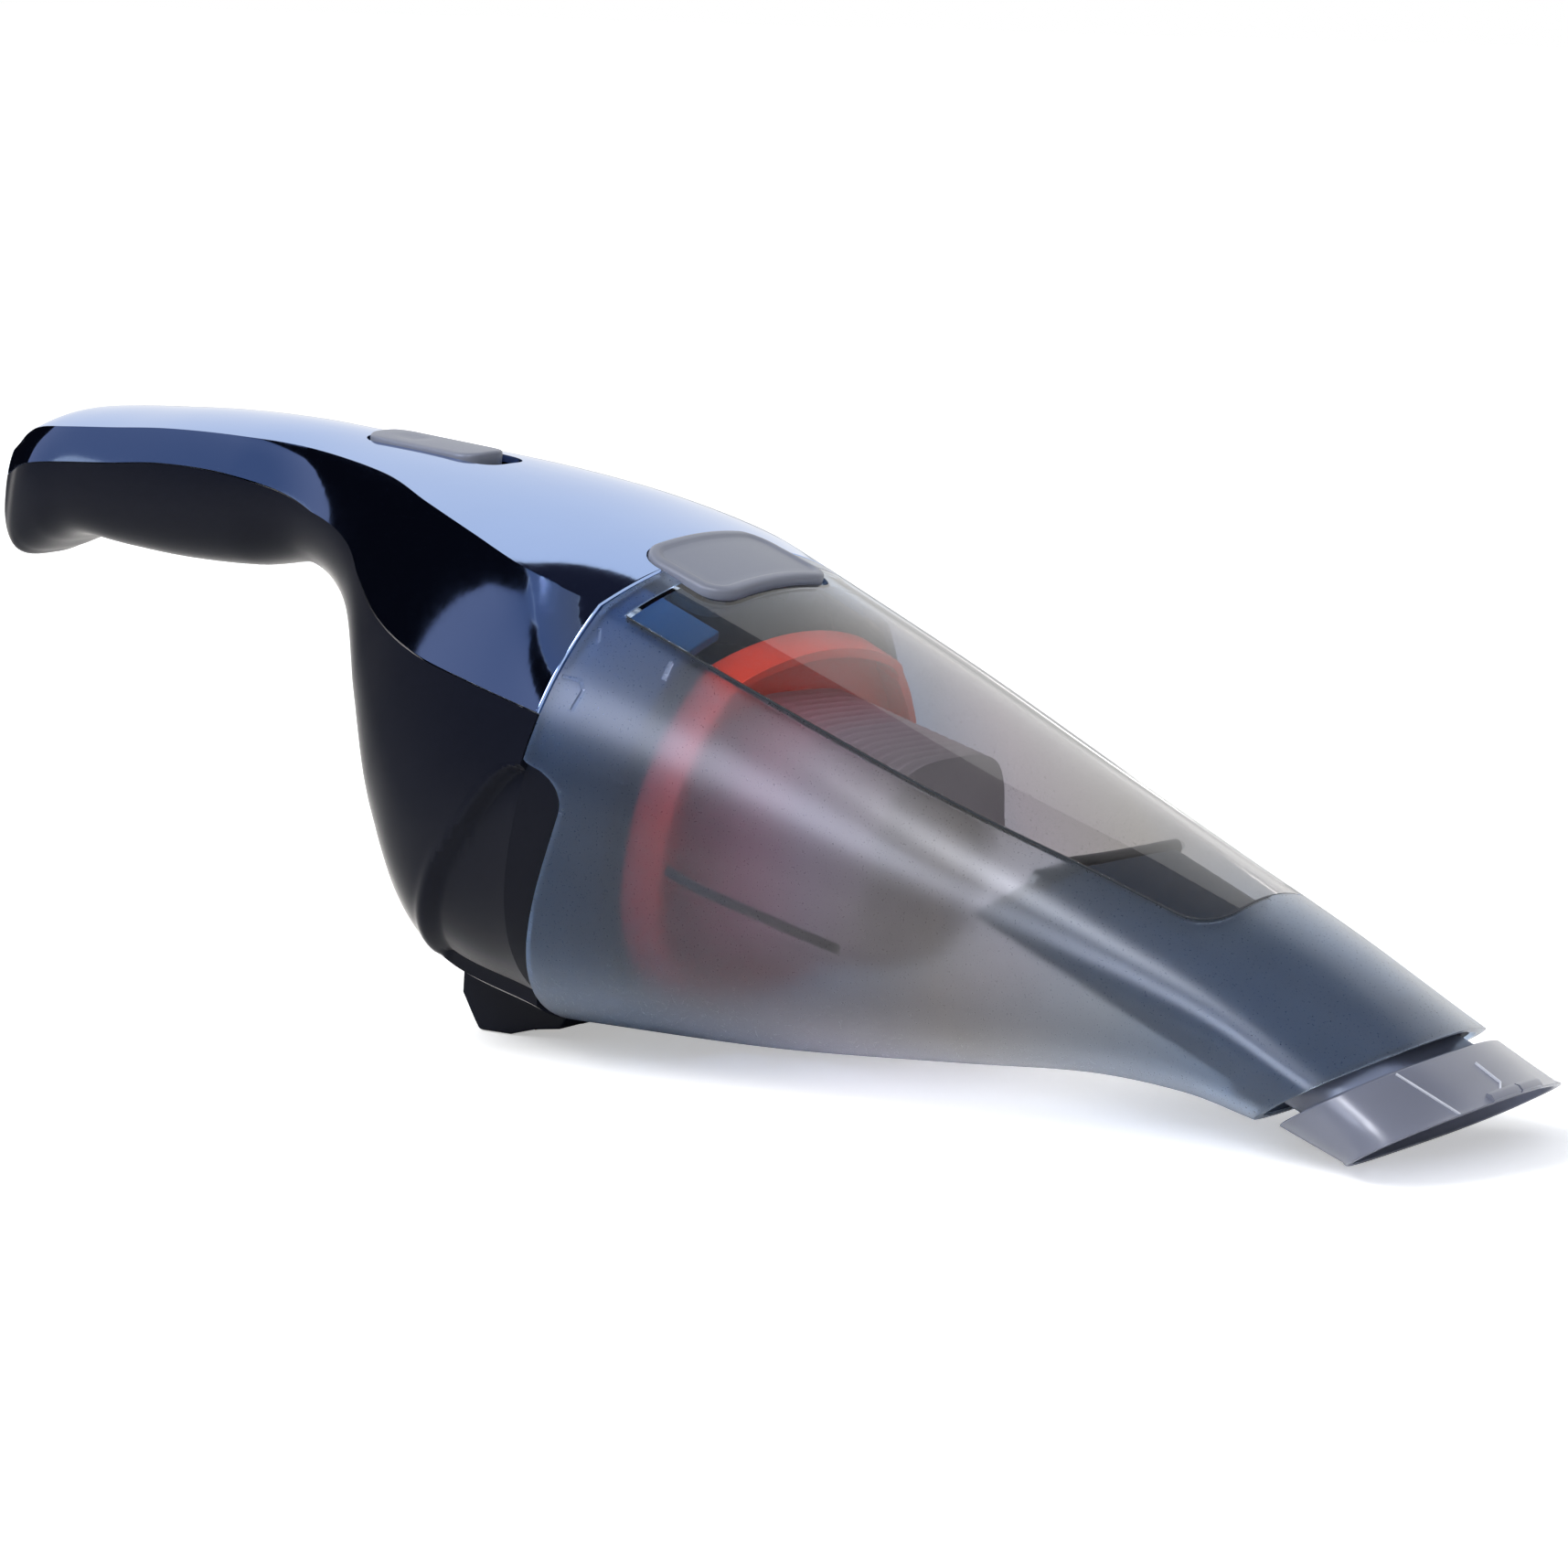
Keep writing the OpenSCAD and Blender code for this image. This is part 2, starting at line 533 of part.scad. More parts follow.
// Solid through closed rings of points, with flat ends
module loft(rings) {
    n = len(rings);
    m = len(rings[0]);
    sides = [for (i = [0:n - 2], j = [0:m - 1]) let(a = i * m + j, b = i * m + (j + 1) % m)
        each [[a, a + m, b + m], [a, b + m, b]]];
    polyhedron(flat(rings), concat(sides, [[for (j = [0:m - 1]) j]],
        [[for (j = [m - 1:-1:0]) (n - 1) * m + j]]), convexity = 6);
}

// ---- Power switch ----
switch_x = switch_back_x + switch_gap + switch_len / 2;
switch_slope = atan2(body_rows[switch_row][1] - body_rows[switch_row + 1][1],
    body_rows[switch_row + 1][0] - body_rows[switch_row][0]);
switch_z = body_rows[switch_row][1] - (switch_x - body_rows[switch_row][0]) * tan(switch_slope);
switch_bend = body_rows[switch_row][4] * body_rows[switch_row][4] / (2 * body_rows[switch_row][5]);
switch_proud = 1.2;
flange_t = 1.5;
flange_lap = 2;
flange_drop = 0.8;
arm_len = 4;

module at_switch() translate([switch_x, 0, switch_z]) rotate([0, switch_slope, 0]) children();

module power_switch() color("#9a9da3") at_switch() {
    crowned(switch_len, switch_w, 5, switch_proud, -cover_wall - flange_drop - flange_t / 2, switch_bend);
    crowned(switch_len + 2 * flange_lap, switch_w + 2 * flange_lap, 4, -cover_wall - flange_drop,
        -cover_wall - flange_drop - flange_t, switch_bend);
    translate([switch_len / 2 - 4, 0, -cover_wall - flange_t - arm_len / 2])
        cube([4, 5, arm_len], center = true);
}

// ---- Fan and motor, along the motor axis ----
bulkhead_from = 0.3;
tray_well = 40;
bulkhead_to = bulkhead_from + bulkhead_t;
seat_r = neck_r + 0.5;
inlet_at = 20;
inlet_r = 6;
rim_x = collar_len + 2.8;
seal_t = 0.8;
shaft_r = shaft_d / 2;
fan_back = -fan_h - 2;
fan_case_back = fan_back - 2;
fan_case_r = fan_d / 2 + fan_gap + fan_wall;
can_front = fan_case_back - fan_wall - 0.2;
can_back = can_front - motor_len;
screw_r = 1.25;
screw_at = 8;
can_wall = 1;

module bulkhead() color("#232b3a") difference() {
    union() {
        loft([for (x = [bulkhead_from, bulkhead_to]) bowl_ring(x, collar_inset + collar_wall + seat_gap)]);
        at_joint() ring_x(seat_r + 2, seat_r, bulkhead_to - 1, rim_x - seal_t - 0.1);
    }
    at_joint() for (a = [0:45:315]) rotate([a, 0, 0])
        translate([0, 0, inlet_at]) rod_x(inlet_r, bulkhead_from - 1, bulkhead_to + 1);
    at_button() translate([0, 0, tray_top - cup_depth - 1]) linear_extrude(tray_well)
        square([button_len, button_w], center = true);
}

module fan_housing() color("#30394a") at_joint() difference() {
    rod_x(fan_case_r, fan_case_back - fan_wall, bulkhead_from - 0.2);
    rod_x(fan_case_r - fan_wall, fan_case_back, bulkhead_from + 1);
    rod_x(5, fan_case_back - 2 * fan_wall, fan_case_back + 1);
    for (a = [30:60:330]) rotate([a, 0, 0]) translate([fan_case_back / 2, 0, fan_case_r])
        cube([-fan_case_back - 5, 14, 4 * fan_wall], center = true);
    for (y = [-screw_at, screw_at]) translate([0, y, 0]) rod_x(screw_r + 0.1, fan_case_back - 2 * fan_wall, fan_case_back + 1);
}

module impeller() color("#c9ccd0") at_joint() difference() {
    union() {
        rod_x(fan_d / 2, fan_back, fan_back + 1.5);
        rod_x(6, fan_back, fan_back + fan_h);
        for (k = [0:fan_blades - 1]) rotate([360 * k / fan_blades, 0, 0])
            translate([fan_back + fan_h / 2, 2, fan_d / 4 + 2.5]) cube([fan_h, 1.2, fan_d / 2 - 6], center = true);
    }
    rod_x(shaft_r, fan_back - 1, fan_back + fan_h + 1);
}

module motor_shaft() color("#b9bcc0") at_joint() rod_x(shaft_r, can_back - 4, fan_back + fan_h + 1);

module armature() color("#a5683a") at_joint() ring_x(motor_d / 2 - 4, shaft_r, can_back + 8, can_front - 8);

module motor_can() color("#b4b7bb") at_joint() difference() {
    rod_x(motor_d / 2, can_back, can_front);
    rod_x(motor_d / 2 - can_wall, can_back - 1, can_front - 1.5);
    rod_x(shaft_r + shaft_clearance, can_back, can_front + 1);
    for (y = [-screw_at, screw_at]) translate([0, y, 0]) rod_x(screw_r, can_front - 3, can_front + 1);
}

module motor_end_cap() color("#e8e6de") at_joint() difference() {
    union() {
        rod_x(motor_d / 2, can_back - 3, can_back);
        rod_x(motor_d / 2 - can_wall - 0.1, can_back - 1, can_back + 3);
        for (y = [-8, 8]) translate([can_back - 5, y, 0]) cube([6, 0.8, 4], center = true);
    }
    rod_x(shaft_r + shaft_clearance, can_back - 9, can_back + 9);
}

module motor_screws() color("#c4c6c8") at_joint() for (y = [-screw_at, screw_at]) translate([0, y, 0]) {
    rod_x(screw_r - 0.05, can_front - 1.4, fan_case_back + 0.5);
    rod_x(2.3, fan_case_back, fan_case_back + 1.4);
}

// ---- Battery, board and switch ----
heel_x = root_x - handle_len;
cell_r = cell_d / 2;
rear_cell_x = heel_x + 11;
cell_gap = 1.8;
front_cell_x = rear_cell_x + cell_len + cell_gap;
cell_z = handle_top - 18.3;
cradle_gap = 0.2;
cradle_t = 1.4;
cradle_r = cell_r + cradle_gap + cradle_t;

module at_rear_cell() translate([rear_cell_x, 0, cell_z]) children();

module at_front_cell() translate([front_cell_x, 0, cell_z + 0.5]) rotate([0, cell_tilt, 0]) children();

module battery_cells() color("#3f8f5f") {
    at_rear_cell() rod_x(cell_r, 0, cell_len);
    at_front_cell() rod_x(cell_r, 0, cell_len);
}

module cell_contacts() color("#d3d0c4") {
    at_rear_cell() {
        rod_x(5, -0.6, -0.1);
        rod_x(5, cell_len + 0.1, cell_len + 1.05);
    }
    at_front_cell() rod_x(5, cell_len + 0.1, cell_len + 0.6);
}

// Open trough under a cell, with a shallow rim up each side
module trough() difference() {
    rod_x(cradle_r, 2, cell_len - 2);
    rod_x(cradle_r - cradle_t, -1, cell_len + 1);
    translate([-1, -cell_len, 2]) cube([cell_len + 2, 2 * cell_len, 2 * cell_len]);
}

board_x = front_cell_x + cell_len + 4;
board_z = cell_z - 0.5;
board_len = 34;
board_w = 24;
board_t = 1.6;
rib_t = 2;
rib_at = [12, 32, 55];
rib_half = handle_w / 2 - housing_wall - 2;

module cell_holder() color("#2f3542") {
    difference() {
        union() {
            at_rear_cell() trough();
            at_rear_cell() for (x = rib_at) translate([x, 0, -2.5]) cube([rib_t, 2 * rib_half, 6], center = true);
        }
        at_rear_cell() rod_x(cradle_r - cradle_t, -1, cell_len + 1);
    }
    difference() {
        union() {
            at_front_cell() trough();
            translate([front_cell_x + cell_len - 4, 0, board_z - 3]) for (y = [-1, 1])
                translate([0, y * (cradle_r + 0.4), 0]) cube([10, 2, 8], center = true);
            translate([board_x - 3, -board_w / 2, board_z - 3]) cube([board_len, board_w, 2]);
        }
        at_front_cell() rod_x(cradle_r - cradle_t, -cell_len, cell_len + 1.2);
    }
    translate([rear_cell_x + cell_len - 4, -5, cell_z - cradle_r + 0.1]) cube([12, 10, cradle_t - 0.2]);
}

module circuit_board() color("#2f6b45") translate([board_x - 2, -board_w / 2 + 1, board_z - 0.9])
    cube([board_len - 2, board_w - 2, board_t]);

switch_body = [12.8, 5.8, 6.2];

module microswitch() color("#1b1b1e") translate([board_x, -switch_body[1] / 2, board_z - 0.8 + board_t]) {
    cube(switch_body);
    translate([-0.3, 2, switch_body[2] - 2.4]) cube([1, 1.8, 1.8]);
}

// ---- Foot ----
ramp_len = 7;
ramp_rise = 1.9;
ramp_slope = atan2(ramp_rise, ramp_len);
// Side view of the foot: [x, z, sections behind the joint where it meets the belly]
foot_profile = [[-foot_len / 2 - 5, 8.5, 1.07], [-foot_len / 2 - 1.2, 1.8, 0.92], [-foot_len / 2, 0, 0.84],
    [foot_len / 2, 0, 0.5], [foot_len / 2 + ramp_len, ramp_rise, 0.28], [foot_len / 2 + 15, 3.0, 0.07]];

// Where the underside of a section is a given distance across
function u_at_across(r, y) = 2 + acos(pow(min(abs(y) / r[6], 1), r[8] / 2)) / 90;

foot_y = [for (k = [-3:3]) k * foot_w / 6];

module charging_foot() color("#1a2130") shell(
    [for (p = foot_profile) [for (y = foot_y) [p[0], y, p[1]]]],
    [for (p = foot_profile) let(r = row_at(body_rows, joint_s - p[2]))
        [for (y = foot_y) on_row(r, (y < 0 ? -1 : 1) * u_at_across(r, y), -0.15)]]);

contact_len = 5;
contact_w = 6;
contact_t = 0.4;
contact_y = 10;

module charging_contacts() color("#c9a34e") for (y = [-contact_y, contact_y])
    translate([foot_len / 2, y, 0]) rotate([0, -ramp_slope, 0])
        translate([ramp_len / 2 - contact_len / 2 + 1, -contact_w / 2, -contact_t])
            cube([contact_len, contact_w, contact_t]);

// ---- Filter ----
rim_inset = bowl_wall + rim_gap;

rim_from = collar_len + 1.4;

function rim_grid(inset) = [for (x = [rim_from, rim_from + rim_len]) bowl_ring(x, inset)];

module filter_frame() color("#e0452a") {
    shell(rim_grid(rim_inset), rim_grid(rim_inset + frame_wall), wrap = true);
    difference() {
        union() {
            intersection() {
                loft([for (x = [rim_from, rim_from + rim_len]) bowl_ring(x, rim_inset + frame_wall / 2)]);
                at_joint() rod_x(pod_w, rim_x, rim_x + frame_wall);
            }
            at_joint() rod_x(neck_r, rim_x - filter_neck_len, rim_x + frame_wall);
        }
        at_joint() rod_x(neck_r - frame_wall, rim_x - filter_neck_len - 1, rim_x + frame_wall + 1);
    }
}

module filter_seal() color("#4a4d52") at_joint() ring_x(seat_r + 2, neck_r + 0.05, rim_x - seal_t, rim_x - 0.02);

pleat_top = 32;
pleat_low_back = -32;
pleat_low_front = -17;
pleat_half_back = 33;
pleat_half_front = 25;
pleat_wall = 1;
pleat_from = rim_x + frame_wall + 0.1;

function pleat_ring(t, inset) = let(low = lerp(pleat_low_back, pleat_low_front, t),
    half = lerp(pleat_half_back, pleat_half_front, t) - inset, tall = (pleat_top - low) / 2 - inset)
    [for (a = [0:15:345]) let(k = 2 / 3.2)
        [pleat_from + t * pleat_len, sign(cos(a)) * half * pow(abs(cos(a)), k),
         (pleat_top + low) / 2 + sign(sin(a)) * tall * pow(abs(sin(a)), k)]];

// Pleated cloth round a smooth hollow core that opens back into the neck
module pleated_filter() color("#8b8a86") at_joint() difference() {
    loft([for (i = [0:2 * pleat_count]) pleat_ring(i / (2 * pleat_count), i % 2 == 0 ? 0 : pleat_depth)]);
    loft([for (t = [-0.02, 1 - 2 / pleat_len]) pleat_ring(t, pleat_depth + pleat_wall)]);
}

// ---- Duct, flap and nozzle, along the nozzle's slide ----
mouth_c = [mouth_top_x + mouth_low_x, mouth_top_z + mouth_low_z] / 2;
mouth_lean = atan2(mouth_top_z - mouth_low_z, mouth_top_x - mouth_low_x);
slide = [cos(nozzle_slope), -sin(nozzle_slope)];

// Section parallel to the bowl mouth, d along the slide from it
function slide_row(d, depth, width, crease, crown, roundness) = let(c = mouth_c + d * slide,
    e = [cos(mouth_lean), sin(mouth_lean)] * depth / 2)
    [c[0] + e[0], c[1] + e[1], c[0] - e[0], c[1] - e[1], crease, crown, width / 2, 0.5, roundness, 0];

slant = sin(mouth_lean + nozzle_slope);
tube_depth = tube_h / slant;
lip_d = neck_len + head_len;
lip_depth = 2 * (mouth_c[1] + lip_d * slide[1]) / sin(mouth_lean);
head_depth = lip_depth + 5;
duct_beyond = 19;
duct_len = tube_len + duct_beyond;
slide_u = [0, 0.62, 1, for (k = [1:5]) 1 + k / 5, for (k = [1:6]) 2 + k / 6];

tube_shoulder = 11.5;

function tube_row(d) = slide_row(d, tube_depth, tube_w, tube_w / 2 - tube_shoulder, 0.8, 3.5);

function slide_ring(r, inset) = ring(r, slide_u, inset);

module crevice_nozzle() color("#9aa2b2", 0.6) shell(
    [slide_ring(tube_row(-tube_len), 0), slide_ring(tube_row(neck_len), 0),
     slide_ring(slide_row(neck_len + 0.3, head_depth, lip_w - 4, 20, 3.8, 3), 0),
     slide_ring(slide_row(lip_d, lip_depth, lip_w, 17.6, 2.9, 2.9), 0)],
    [slide_ring(tube_row(-tube_len), nozzle_wall), slide_ring(tube_row(neck_len), nozzle_wall),
     slide_ring(slide_row(neck_len + 3, head_depth, lip_w - 4, 20, 3.8, 3), nozzle_wall + 0.4),
     slide_ring(slide_row(lip_d, lip_depth, lip_w, 17.6, 2.9, 2.9), nozzle_wall)], wrap = true);

ear_y = tube_w / 2 + slide_gap + nozzle_wall;
ear_t = 2;
ear_r = 1.9;
barrel_r = 1.8;
flap_half = ear_y - ear_t - 0.6;
flap_pin_r = 1;
flap_t = 2;
hinge_at = [-4.2, 2.1];
duct_end = tube_row(-duct_len);
flange_gap = 0.5;

// Flap frame: +X up the slanted end of the duct from its top edge, +Z out of it
module at_flap() translate([duct_end[0], 0, duct_end[1]]) rotate([0, -mouth_lean, 0]) children();

module rod_y(r, half) rotate([90, 0, 0]) cylinder(r = r, h = 2 * half, center = true);

module intake_duct() color("#31455e") {
    flange = row_at(bowl_rows, mouth_s - 0.4);
    flange_end = row_at(bowl_rows, mouth_s - 0.03);
    shell([slide_ring(tube_row(-duct_len), -slide_gap - nozzle_wall), slide_ring(tube_row(-12), -slide_gap - nozzle_wall),
           slide_ring(flange, bowl_wall + flange_gap), slide_ring(flange_end, bowl_wall + flange_gap)],
          [slide_ring(tube_row(-duct_len), -slide_gap), slide_ring(tube_row(-12), -slide_gap),
           slide_ring(tube_row(-8), -slide_gap), slide_ring(tube_row(-1), -slide_gap)], wrap = true);
    at_flap() difference() {
        for (y = [-1, 1]) translate([hinge_at[0], y * (ear_y - ear_t / 2), 0]) {
            translate([0, 0, hinge_at[1]]) rod_y(ear_r, ear_t / 2);
            translate([-ear_r, -ear_t / 2, -4]) cube([2 * ear_r, ear_t, hinge_at[1] + 4]);
        }
        translate([hinge_at[0], 0, hinge_at[1]]) rod_y(flap_pin_r + 0.02, ear_y + 1);
    }
}

module flap_pin() color("#c4c6c8") at_flap() translate([hinge_at[0], 0, hinge_at[1]]) rod_y(flap_pin_r, ear_y);

module intake_flap() color("#1c2a3c") at_flap() difference() {
    union() {
        translate([-tube_depth + 1, -flap_half, 0.4]) cube([tube_depth - 1 + hinge_at[0], 2 * flap_half, flap_t]);
        translate([hinge_at[0], 0, hinge_at[1]]) rod_y(barrel_r, flap_half);
    }
    translate([hinge_at[0], 0, hinge_at[1]]) rod_y(flap_pin_r + 0.05, ear_y + 1);
}

housing_left();
housing_right();
top_cover();
power_switch();
release_button();
release_spring();
latch_tray();
front_collar();
bulkhead();
fan_housing();
impeller();
motor_shaft();
armature();
motor_can();
motor_end_cap();
motor_screws();
cell_holder();
battery_cells();
cell_contacts();
circuit_board();
microswitch();
charging_foot();
charging_contacts();
filter_frame();
pleated_filter();
filter_seal();
dust_bowl();
bowl_window();
intake_duct();
flap_pin();
intake_flap();
crevice_nozzle();
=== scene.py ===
import bmesh
import bpy
import math
import numpy as np
from mathutils import Matrix, Vector


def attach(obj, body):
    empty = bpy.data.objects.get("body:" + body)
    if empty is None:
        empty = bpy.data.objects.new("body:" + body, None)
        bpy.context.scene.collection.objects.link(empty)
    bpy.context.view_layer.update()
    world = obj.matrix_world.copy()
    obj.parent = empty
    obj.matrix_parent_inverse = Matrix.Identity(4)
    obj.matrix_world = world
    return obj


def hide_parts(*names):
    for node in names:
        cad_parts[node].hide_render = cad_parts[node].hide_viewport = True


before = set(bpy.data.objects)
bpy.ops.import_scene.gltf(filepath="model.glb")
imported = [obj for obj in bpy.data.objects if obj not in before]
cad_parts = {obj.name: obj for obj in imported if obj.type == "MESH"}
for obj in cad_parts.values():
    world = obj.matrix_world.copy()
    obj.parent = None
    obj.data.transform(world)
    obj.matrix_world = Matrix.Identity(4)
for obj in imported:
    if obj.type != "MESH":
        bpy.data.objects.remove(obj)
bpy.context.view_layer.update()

# ---- Housing, in two halves ----
# Grip and motor pod are two glass-filled plastic mouldings that meet on the centre line and are
# screwed together. The mould is finely etched, so the near-black navy skin is matt, and a finger
# scoop is sunk into each side where the bowl is pulled off.
JOINT = 13.0  # section where the pod meets the bowl
HOUSING_WALL, HALF_SEAM = 2.4, 0.15  # mm; the seam is the one between housing and cover

# A row of the side view, in mm: top x, top z, low x, low z, half width at the crease, crown height,
# half width, share of the depth where it is widest, roundness, and how far down the cover reaches.
BODY = np.array([
    [-158.5, 125, -159.5, 107.66, 12.76, 2.5, 14.3, 0.5, 3, 7],
    [-152.75, 129, -157.75, 98.74, 14.3, 3, 16.06, 0.5, 3, 9.5],
    [-147, 132.7, -153, 99.38, 16.5, 3.1, 18.92, 0.5, 3, 11.2],
    [-140.68, 135, -144.68, 102.53, 18.7, 3.3, 20.9, 0.5, 3, 12],
    [-130.9, 136, -134.9, 104.72, 20.46, 3.5, 21.34, 0.5, 3, 12.2],
    [-116.53, 136.6, -119.53, 102.94, 20.68, 3.4, 21.78, 0.5, 2.9, 12],
    [-98.12, 137, -102.12, 101.3, 20.24, 3, 22, 0.5, 2.7, 11.4],
    [-76.85, 136.4, -82.35, 101.04, 19.14, 2.9, 21.56, 0.5, 2.6, 12.2],
    [-55, 134.7, -61.5, 102.4, 18.04, 2.9, 21.01, 0.5, 2.5, 15.5],
    [-26.4, 131.94, -44.39, 91.12, 24.8, 3.8, 29.14, 0.5, 2.4, 24],
    [-5.5, 128.95, -34.17, 64.88, 34.1, 5.4, 39.37, 0.6, 2.3, 33.8],
    [13.5, 125.04, -24.68, 37.16, 40.92, 6.5, 48.98, 0.6, 2.2, 36.3],
    [33.45, 119.52, -7.89, 13.9, 45.26, 7.5, 57.04, 0.6, 2.2, 34.5],
    [51.5, 114, 23.5, 4, 42.47, 8.3, 62, 0.5, 2.3, 32.2]])
EASE = 0.38


def section(table, s):
    """Smooth curve through the rows (Catmull-Rom), t of the way from row b to row c: half of
    2b + t(c - a) + t2(2a - 5b + 4c - d) + t3(3b - a - 3c + d)."""
    ends = np.vstack([2 * table[0] - table[1], table, 2 * table[-1] - table[-2]])
    i = np.clip(np.floor(s), 0, len(table) - 2).astype(int)
    t = (np.asarray(s, float) - i)[..., None]
    a, b, c, d = (ends[i + k] for k in range(4))
    bend, twist = 2 * a - 5 * b + 4 * c - d, 3 * b - a - 3 * c + d
    return 0.5 * (2 * b + t * (c - a) + t ** 2 * bend + t ** 3 * twist)


def depth_of(rows):
    """Distance from a section's top point to its bottom point."""
    return np.hypot(rows[..., 2] - rows[..., 0], rows[..., 3] - rows[..., 1])


def skin(rows, u, inset=0.0, narrow=1.0):
    """Point on a section, metres. For |u| to 1 the crown is a parabola, for 1 to 2 the upper side goes out as
    a sine and down by an eased drop, for 2 to 3 the lower side is a superellipse. inset moves it inwards
    in mm (the crease by 0.7 of that), and u below 0 is the right side."""
    top_x, top_z, low_x, low_z, crest, crown, half, widest, roundness = np.moveaxis(rows, -1, 0)[:9]
    v, depth = np.abs(u), depth_of(rows)
    widest, half, eaves, crease_in = widest * depth, half - inset, crown + inset, 0.7 * inset
    crease = crest - crease_in
    t, q, power = np.clip(v - 1, 0, 1), np.clip(v - 2, 0, 1) * math.pi / 2, 2 / roundness
    lower = half * np.maximum(np.cos(q), 0) ** power
    upper = crease + (half - crease) * np.sin(t * math.pi / 2)
    across = np.where(v <= 1, crest * v - crease_in * v ** 6, np.where(v <= 2, upper, lower))
    low_down = widest + (depth - inset - widest) * np.sin(q) ** power
    up_down = eaves + (widest - eaves) * t * (1 - EASE * (1 - t))
    down = np.where(v <= 1, inset + crown * v ** 2, np.where(v <= 2, up_down, low_down)) / depth
    x, z = top_x + (low_x - top_x) * down, top_z + (low_z - top_z) * down
    return 0.001 * np.stack([x, np.sign(u) * narrow * across, z], -1)


def u_at_depth(rows, deep):
    """Where the upper side lies a given depth below the top: the eased drop solved for u."""
    widest = rows[..., 7] * depth_of(rows)
    share = np.clip((deep - rows[..., 5]) / (widest - rows[..., 5]), 0, 1)
    straight = 1 - EASE
    return 1 + (np.sqrt(straight ** 2 + 4 * EASE * share) - straight) / (2 * EASE)


def u_at_across(rows, y):
    """Where the lower side lies y from the centre line: the superellipse solved for u."""
    return 2 + np.arccos(np.clip(y / rows[..., 6], 0, 1) ** (rows[..., 8] / 2)) / (math.pi / 2)


def cells(n, m, rows, cols):
    """The four corners of each cell, in order round it, in a grid of n by m points. rows and cols are how many
    cells there are each way, and a cell past the last point closes on the first."""
    i, j = np.meshgrid(np.arange(rows), np.arange(cols), indexing="ij")
    i_next, j_next = (i + 1) % n, (j + 1) % m
    return i * m + j, i_next * m + j, i_next * m + j_next, i * m + j_next


def walled(outer, inner, wrap=False, left_out=None):
    """Points and quads of a wall between two grids: every kept cell outside and inside, and a strip along
    each edge that has no kept cell beside it."""
    n, m = outer.shape[:2]
    cols = m if wrap else m - 1
    kept = np.ones((n - 1, cols), bool) if left_out is None else ~left_out
    a, b, c, d = cells(n, m, n - 1, cols)
    over, side = n * m, np.pad(kept, ((1, 1), (1, 1)), mode="constant")
    if wrap:
        side[1:-1, 0], side[1:-1, -1] = kept[:, -1], kept[:, 0]
    quads = [np.stack([a, b, c, d], -1)[kept], np.stack([a, d, c, b], -1)[kept] + over]
    edges = ((b, a, side[1:-1, :-2]), (c, b, side[2:, 1:-1]),
             (d, c, side[1:-1, 2:]), (a, d, side[:-2, 1:-1]))
    for p, q, beside in edges:
        quads.append(np.stack([p, q, q + over, p + over], -1)[kept & ~beside])
    return np.concatenate([outer.reshape(-1, 3), inner.reshape(-1, 3)]), np.concatenate(quads)


def added(name, data):
    """New object of a mesh, a lamp or a camera, in the scene."""
    thing = bpy.data.objects.new(name, data)
    bpy.context.scene.collection.objects.link(thing)
    return thing


def build(name, points, quads, material, body, slot, stands_for=(), edge=0.35, angle=40):
    """Mesh from points and quads, turned so that its volume is positive, with its edges rounded in mm."""
    p = points[quads]
    if np.einsum("ij,ij->", p[:, 0], np.cross(p[:, 1], p[:, 2]) + np.cross(p[:, 2], p[:, 3])) < 0:
        quads = quads[:, ::-1]
    mesh = bpy.data.meshes.new(name)
    mesh.from_pydata(points.tolist(), [], quads.tolist())
    used = np.zeros(len(points), bool)
    used[quads.ravel()] = True
    mesh.polygons.foreach_set("use_smooth", np.ones(len(quads), bool))
    mesh.update()
    piece = added(name, mesh)
    mesh.materials.append(material)
    if not used.all():
        loose = bmesh.new()
        loose.from_mesh(mesh)
        bmesh.ops.delete(loose, geom=[v for v in loose.verts if not v.link_faces], context="VERTS")
        loose.to_mesh(mesh)
        loose.free()
    if edge:
        bevel = piece.modifiers.new("edge", "BEVEL")
        bevel.width, bevel.segments, bevel.limit_method = edge * 0.001, 2, "ANGLE"
        bevel.angle_limit, bevel.harden_normals = math.radians(angle), True
    else:
        mesh.set_sharp_from_angle(angle=math.radians(angle))
    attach(piece, body)
    if stands_for:
        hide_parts(*stands_for)
    return piece


def put(node, **values):
    """Set inputs of a shader node; an underscore in a name stands for a space."""
    for name, value in values.items():
        node.inputs[name.replace("_", " ")].default_value = value
    return node


def new_node(nt, kind, **values):
    """New shader node of a kind, with values for its inputs."""
    return put(nt.nodes.new("ShaderNode" + kind), **values)


def new_material(name):
    """New material and its node tree."""
    mat = bpy.data.materials.new(name)
    mat.use_nodes = True
    return mat, mat.node_tree


